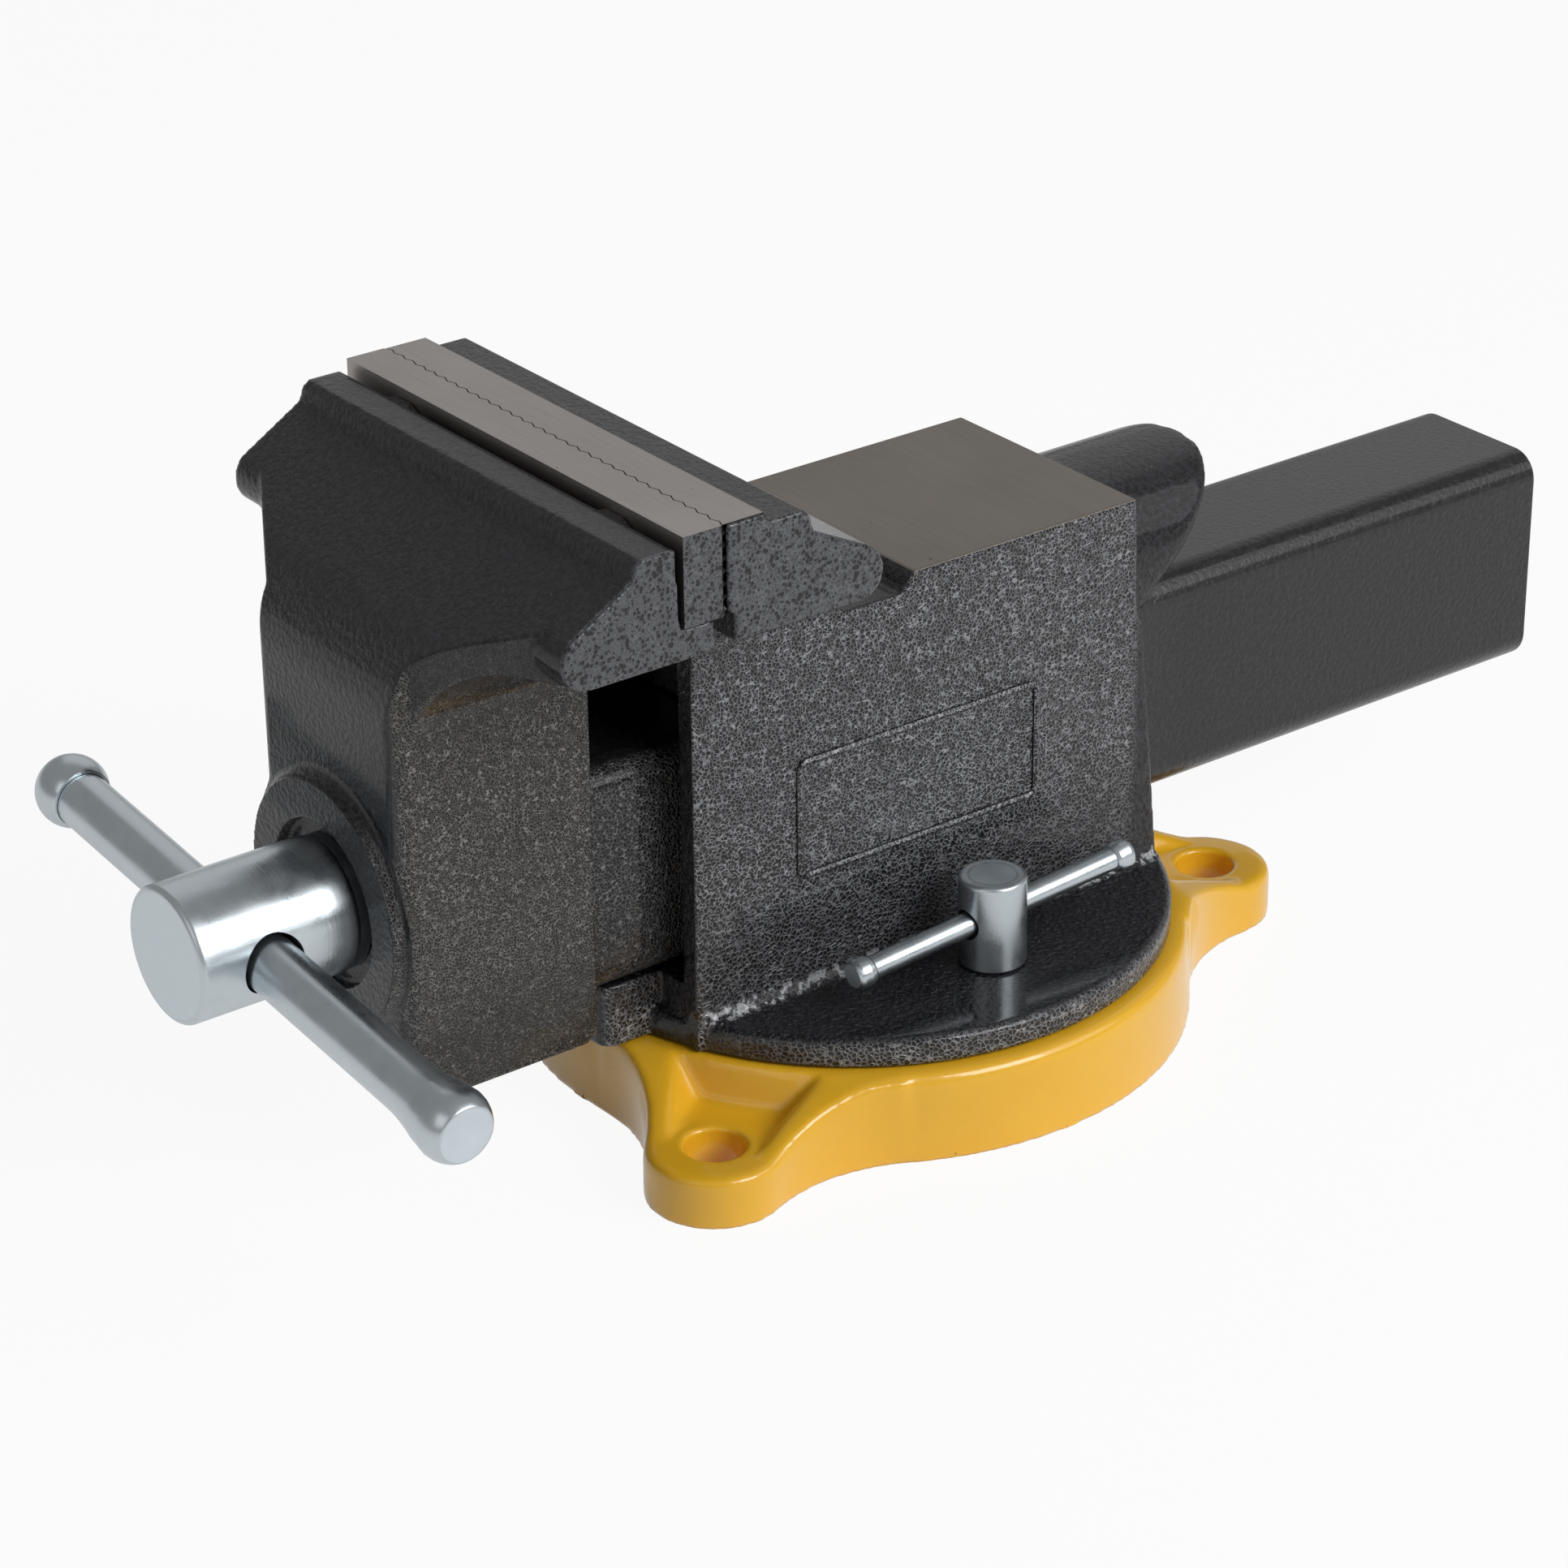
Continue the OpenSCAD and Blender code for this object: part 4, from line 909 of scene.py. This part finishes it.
# Z of the profiles runs to the right along the handle
handle_place = (
    Matrix.Translation(handle_middle)
    @ Matrix.Rotation(handle_tilt, 4, "Y")
    @ Matrix.Rotation(math.pi / 2, 4, "Y")
)
near = handle_l / 2 - button_flat
arc = [math.radians(a) for a in (-14, 0, 12, 22, 31)]
flare = [(rod_r, near - 17 * MM, 0)] + [
    (rod_r + rise * MM, near - back * MM, 0)
    for rise, back in ((0.05, 14.5), (0.22, 12), (0.55, 9.5), (0.98, 7), (1.4, 5))
]
button = [(button_r * math.cos(a), near + button_r * math.sin(a), 0) for a in arc]
bar = turned(
    [(0, 1.2 * MM - near, 0), (rod_r, 1.2 * MM - near, 0)]
    + flare
    + button
    + [(button_face_r, near + button_flat, 0.7 * MM), (0, near + button_flat, 0)],
    handle_place,
)
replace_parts(new_piece("handle_rod", bar, "handle", "zinc_plate", zinc, faced_zinc), "handle_bar")
rim = near - 4.5 * MM
mouth = rod_r + 0.12 * MM
arc = [math.asin(z * MM / button_r) for z in (-4.6, -3.6, -2.4, -1.2, 0, 1.2, 2.4, 3.4, 4.1)]
cap = turned(
    [(0, -near - button_flat, 0), (button_face_r, -near - button_flat, 0.5 * MM)]
    + [(button_r * math.cos(a), -near + button_r * math.sin(a), 0) for a in arc]
    + [(mouth + 0.55 * MM, -rim, 0.2 * MM), (mouth, -rim, 0)]
    + [(mouth, -near - 4.2 * MM, 0), (0, -near - 4.2 * MM, 0)],
    handle_place,
)
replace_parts(new_piece("handle_end_cap", cap, "handle", "zinc_plate", zinc, faced_zinc), "handle_cap")


# ---- Floor, light and camera ----
# A white studio table in a pale room, two soft lamps on the right, a weak one in front, and a broad dim one
# behind whose reflection lies on the ground faces.
floor_mesh = bpy.data.meshes.new("floor")
floor_mesh.from_pydata([(-6, -6, 0), (6, -6, 0), (6, 6, 0), (-6, 6, 0)], [], [(0, 1, 2, 3)])
floor = bpy.data.objects.new("floor", floor_mesh)
bpy.context.scene.collection.objects.link(floor)
table = bpy.data.materials.new("white_table")
table.use_nodes = True
tree = table.node_tree
tree.nodes.clear()
seen = add(tree, "ShaderNodeLightPath")
# the table glows for the camera, as one lit from all around does, and less in the vise's reflections
plain = add(tree, "ShaderNodeMath", {0: seen.outputs["Is Camera Ray"], 1: 0.93}, operation="MULTIPLY")
mirrored = add(tree, "ShaderNodeMath", {0: seen.outputs["Is Glossy Ray"], 1: 0.58}, operation="MULTIPLY")
share = add(tree, "ShaderNodeMath", {0: plain, 1: mirrored}, operation="MAXIMUM")
matt = add(tree, "ShaderNodeBsdfDiffuse", {"Color": linear("#f4f4f4")})
glow = add(tree, "ShaderNodeEmission", {"Color": linear("#ffffff"), "Strength": 1})
mix = add(tree, "ShaderNodeMixShader", {0: share, 1: matt, 2: glow})
add(tree, "ShaderNodeOutputMaterial", {"Surface": mix})
floor_mesh.materials.append(table)

world = bpy.data.worlds.new("pale_room")
bpy.context.scene.world = world
world.use_nodes = True
world.node_tree.nodes["Background"].inputs["Color"].default_value = linear("#ffffff")
# the room is dim, but bright metal mirrors its pale walls
walls = add(world.node_tree, "ShaderNodeLightPath")
pale = add(world.node_tree, "ShaderNodeMapRange", {0: walls.outputs["Is Glossy Ray"], 3: 0.1, 4: 0.3})
world.node_tree.links.new(pale.outputs[0], world.node_tree.nodes["Background"].inputs["Strength"])


def lamp(name, azimuth, elevation, distance, size, power):
    """A square soft lamp that faces the vise; azimuth runs from straight in front towards the right."""
    light = bpy.data.lights.new(name, "AREA")
    light.size = size
    light.energy = power
    a, e = math.radians(azimuth), math.radians(elevation)
    back = Vector((math.sin(a) * math.cos(e), -math.cos(a) * math.cos(e), math.sin(e)))
    holder = bpy.data.objects.new(name, light)
    holder.matrix_world = Matrix.Translation(back * distance + Vector((0, 0, 0.08))) @ (
        back.to_track_quat("Z", "Y").to_matrix().to_4x4()
    )
    bpy.context.scene.collection.objects.link(holder)


lamp("right_softbox", 104, 32, 1.6, 0.8, 15)
lamp("rear_right_softbox", 132, 34, 1.8, 1.1, 5)
lamp("front_softbox", 20, 30, 2.2, 1.2, 3)
lamp("back_softbox", 230, 35, 2.2, 2.0, 4)

camera = bpy.data.cameras.new("camera")
camera.lens = 108.78
camera.sensor_width = 36
camera.clip_start = 0.05
camera.clip_end = 50
holder = bpy.data.objects.new("camera", camera)
azimuth, elevation, roll = (math.radians(v) for v in (53.12, 26.55, -0.6))
holder.matrix_world = (
    Matrix.Translation((0.78218, -0.60704, 0.55025))
    @ Matrix.Rotation(azimuth, 4, "Z")
    @ Matrix.Rotation(math.pi / 2 - elevation, 4, "X")
    @ Matrix.Rotation(roll, 4, "Z")
)
bpy.context.scene.collection.objects.link(holder)
bpy.context.scene.camera = holder
bpy.context.scene.view_settings.view_transform = "Standard"
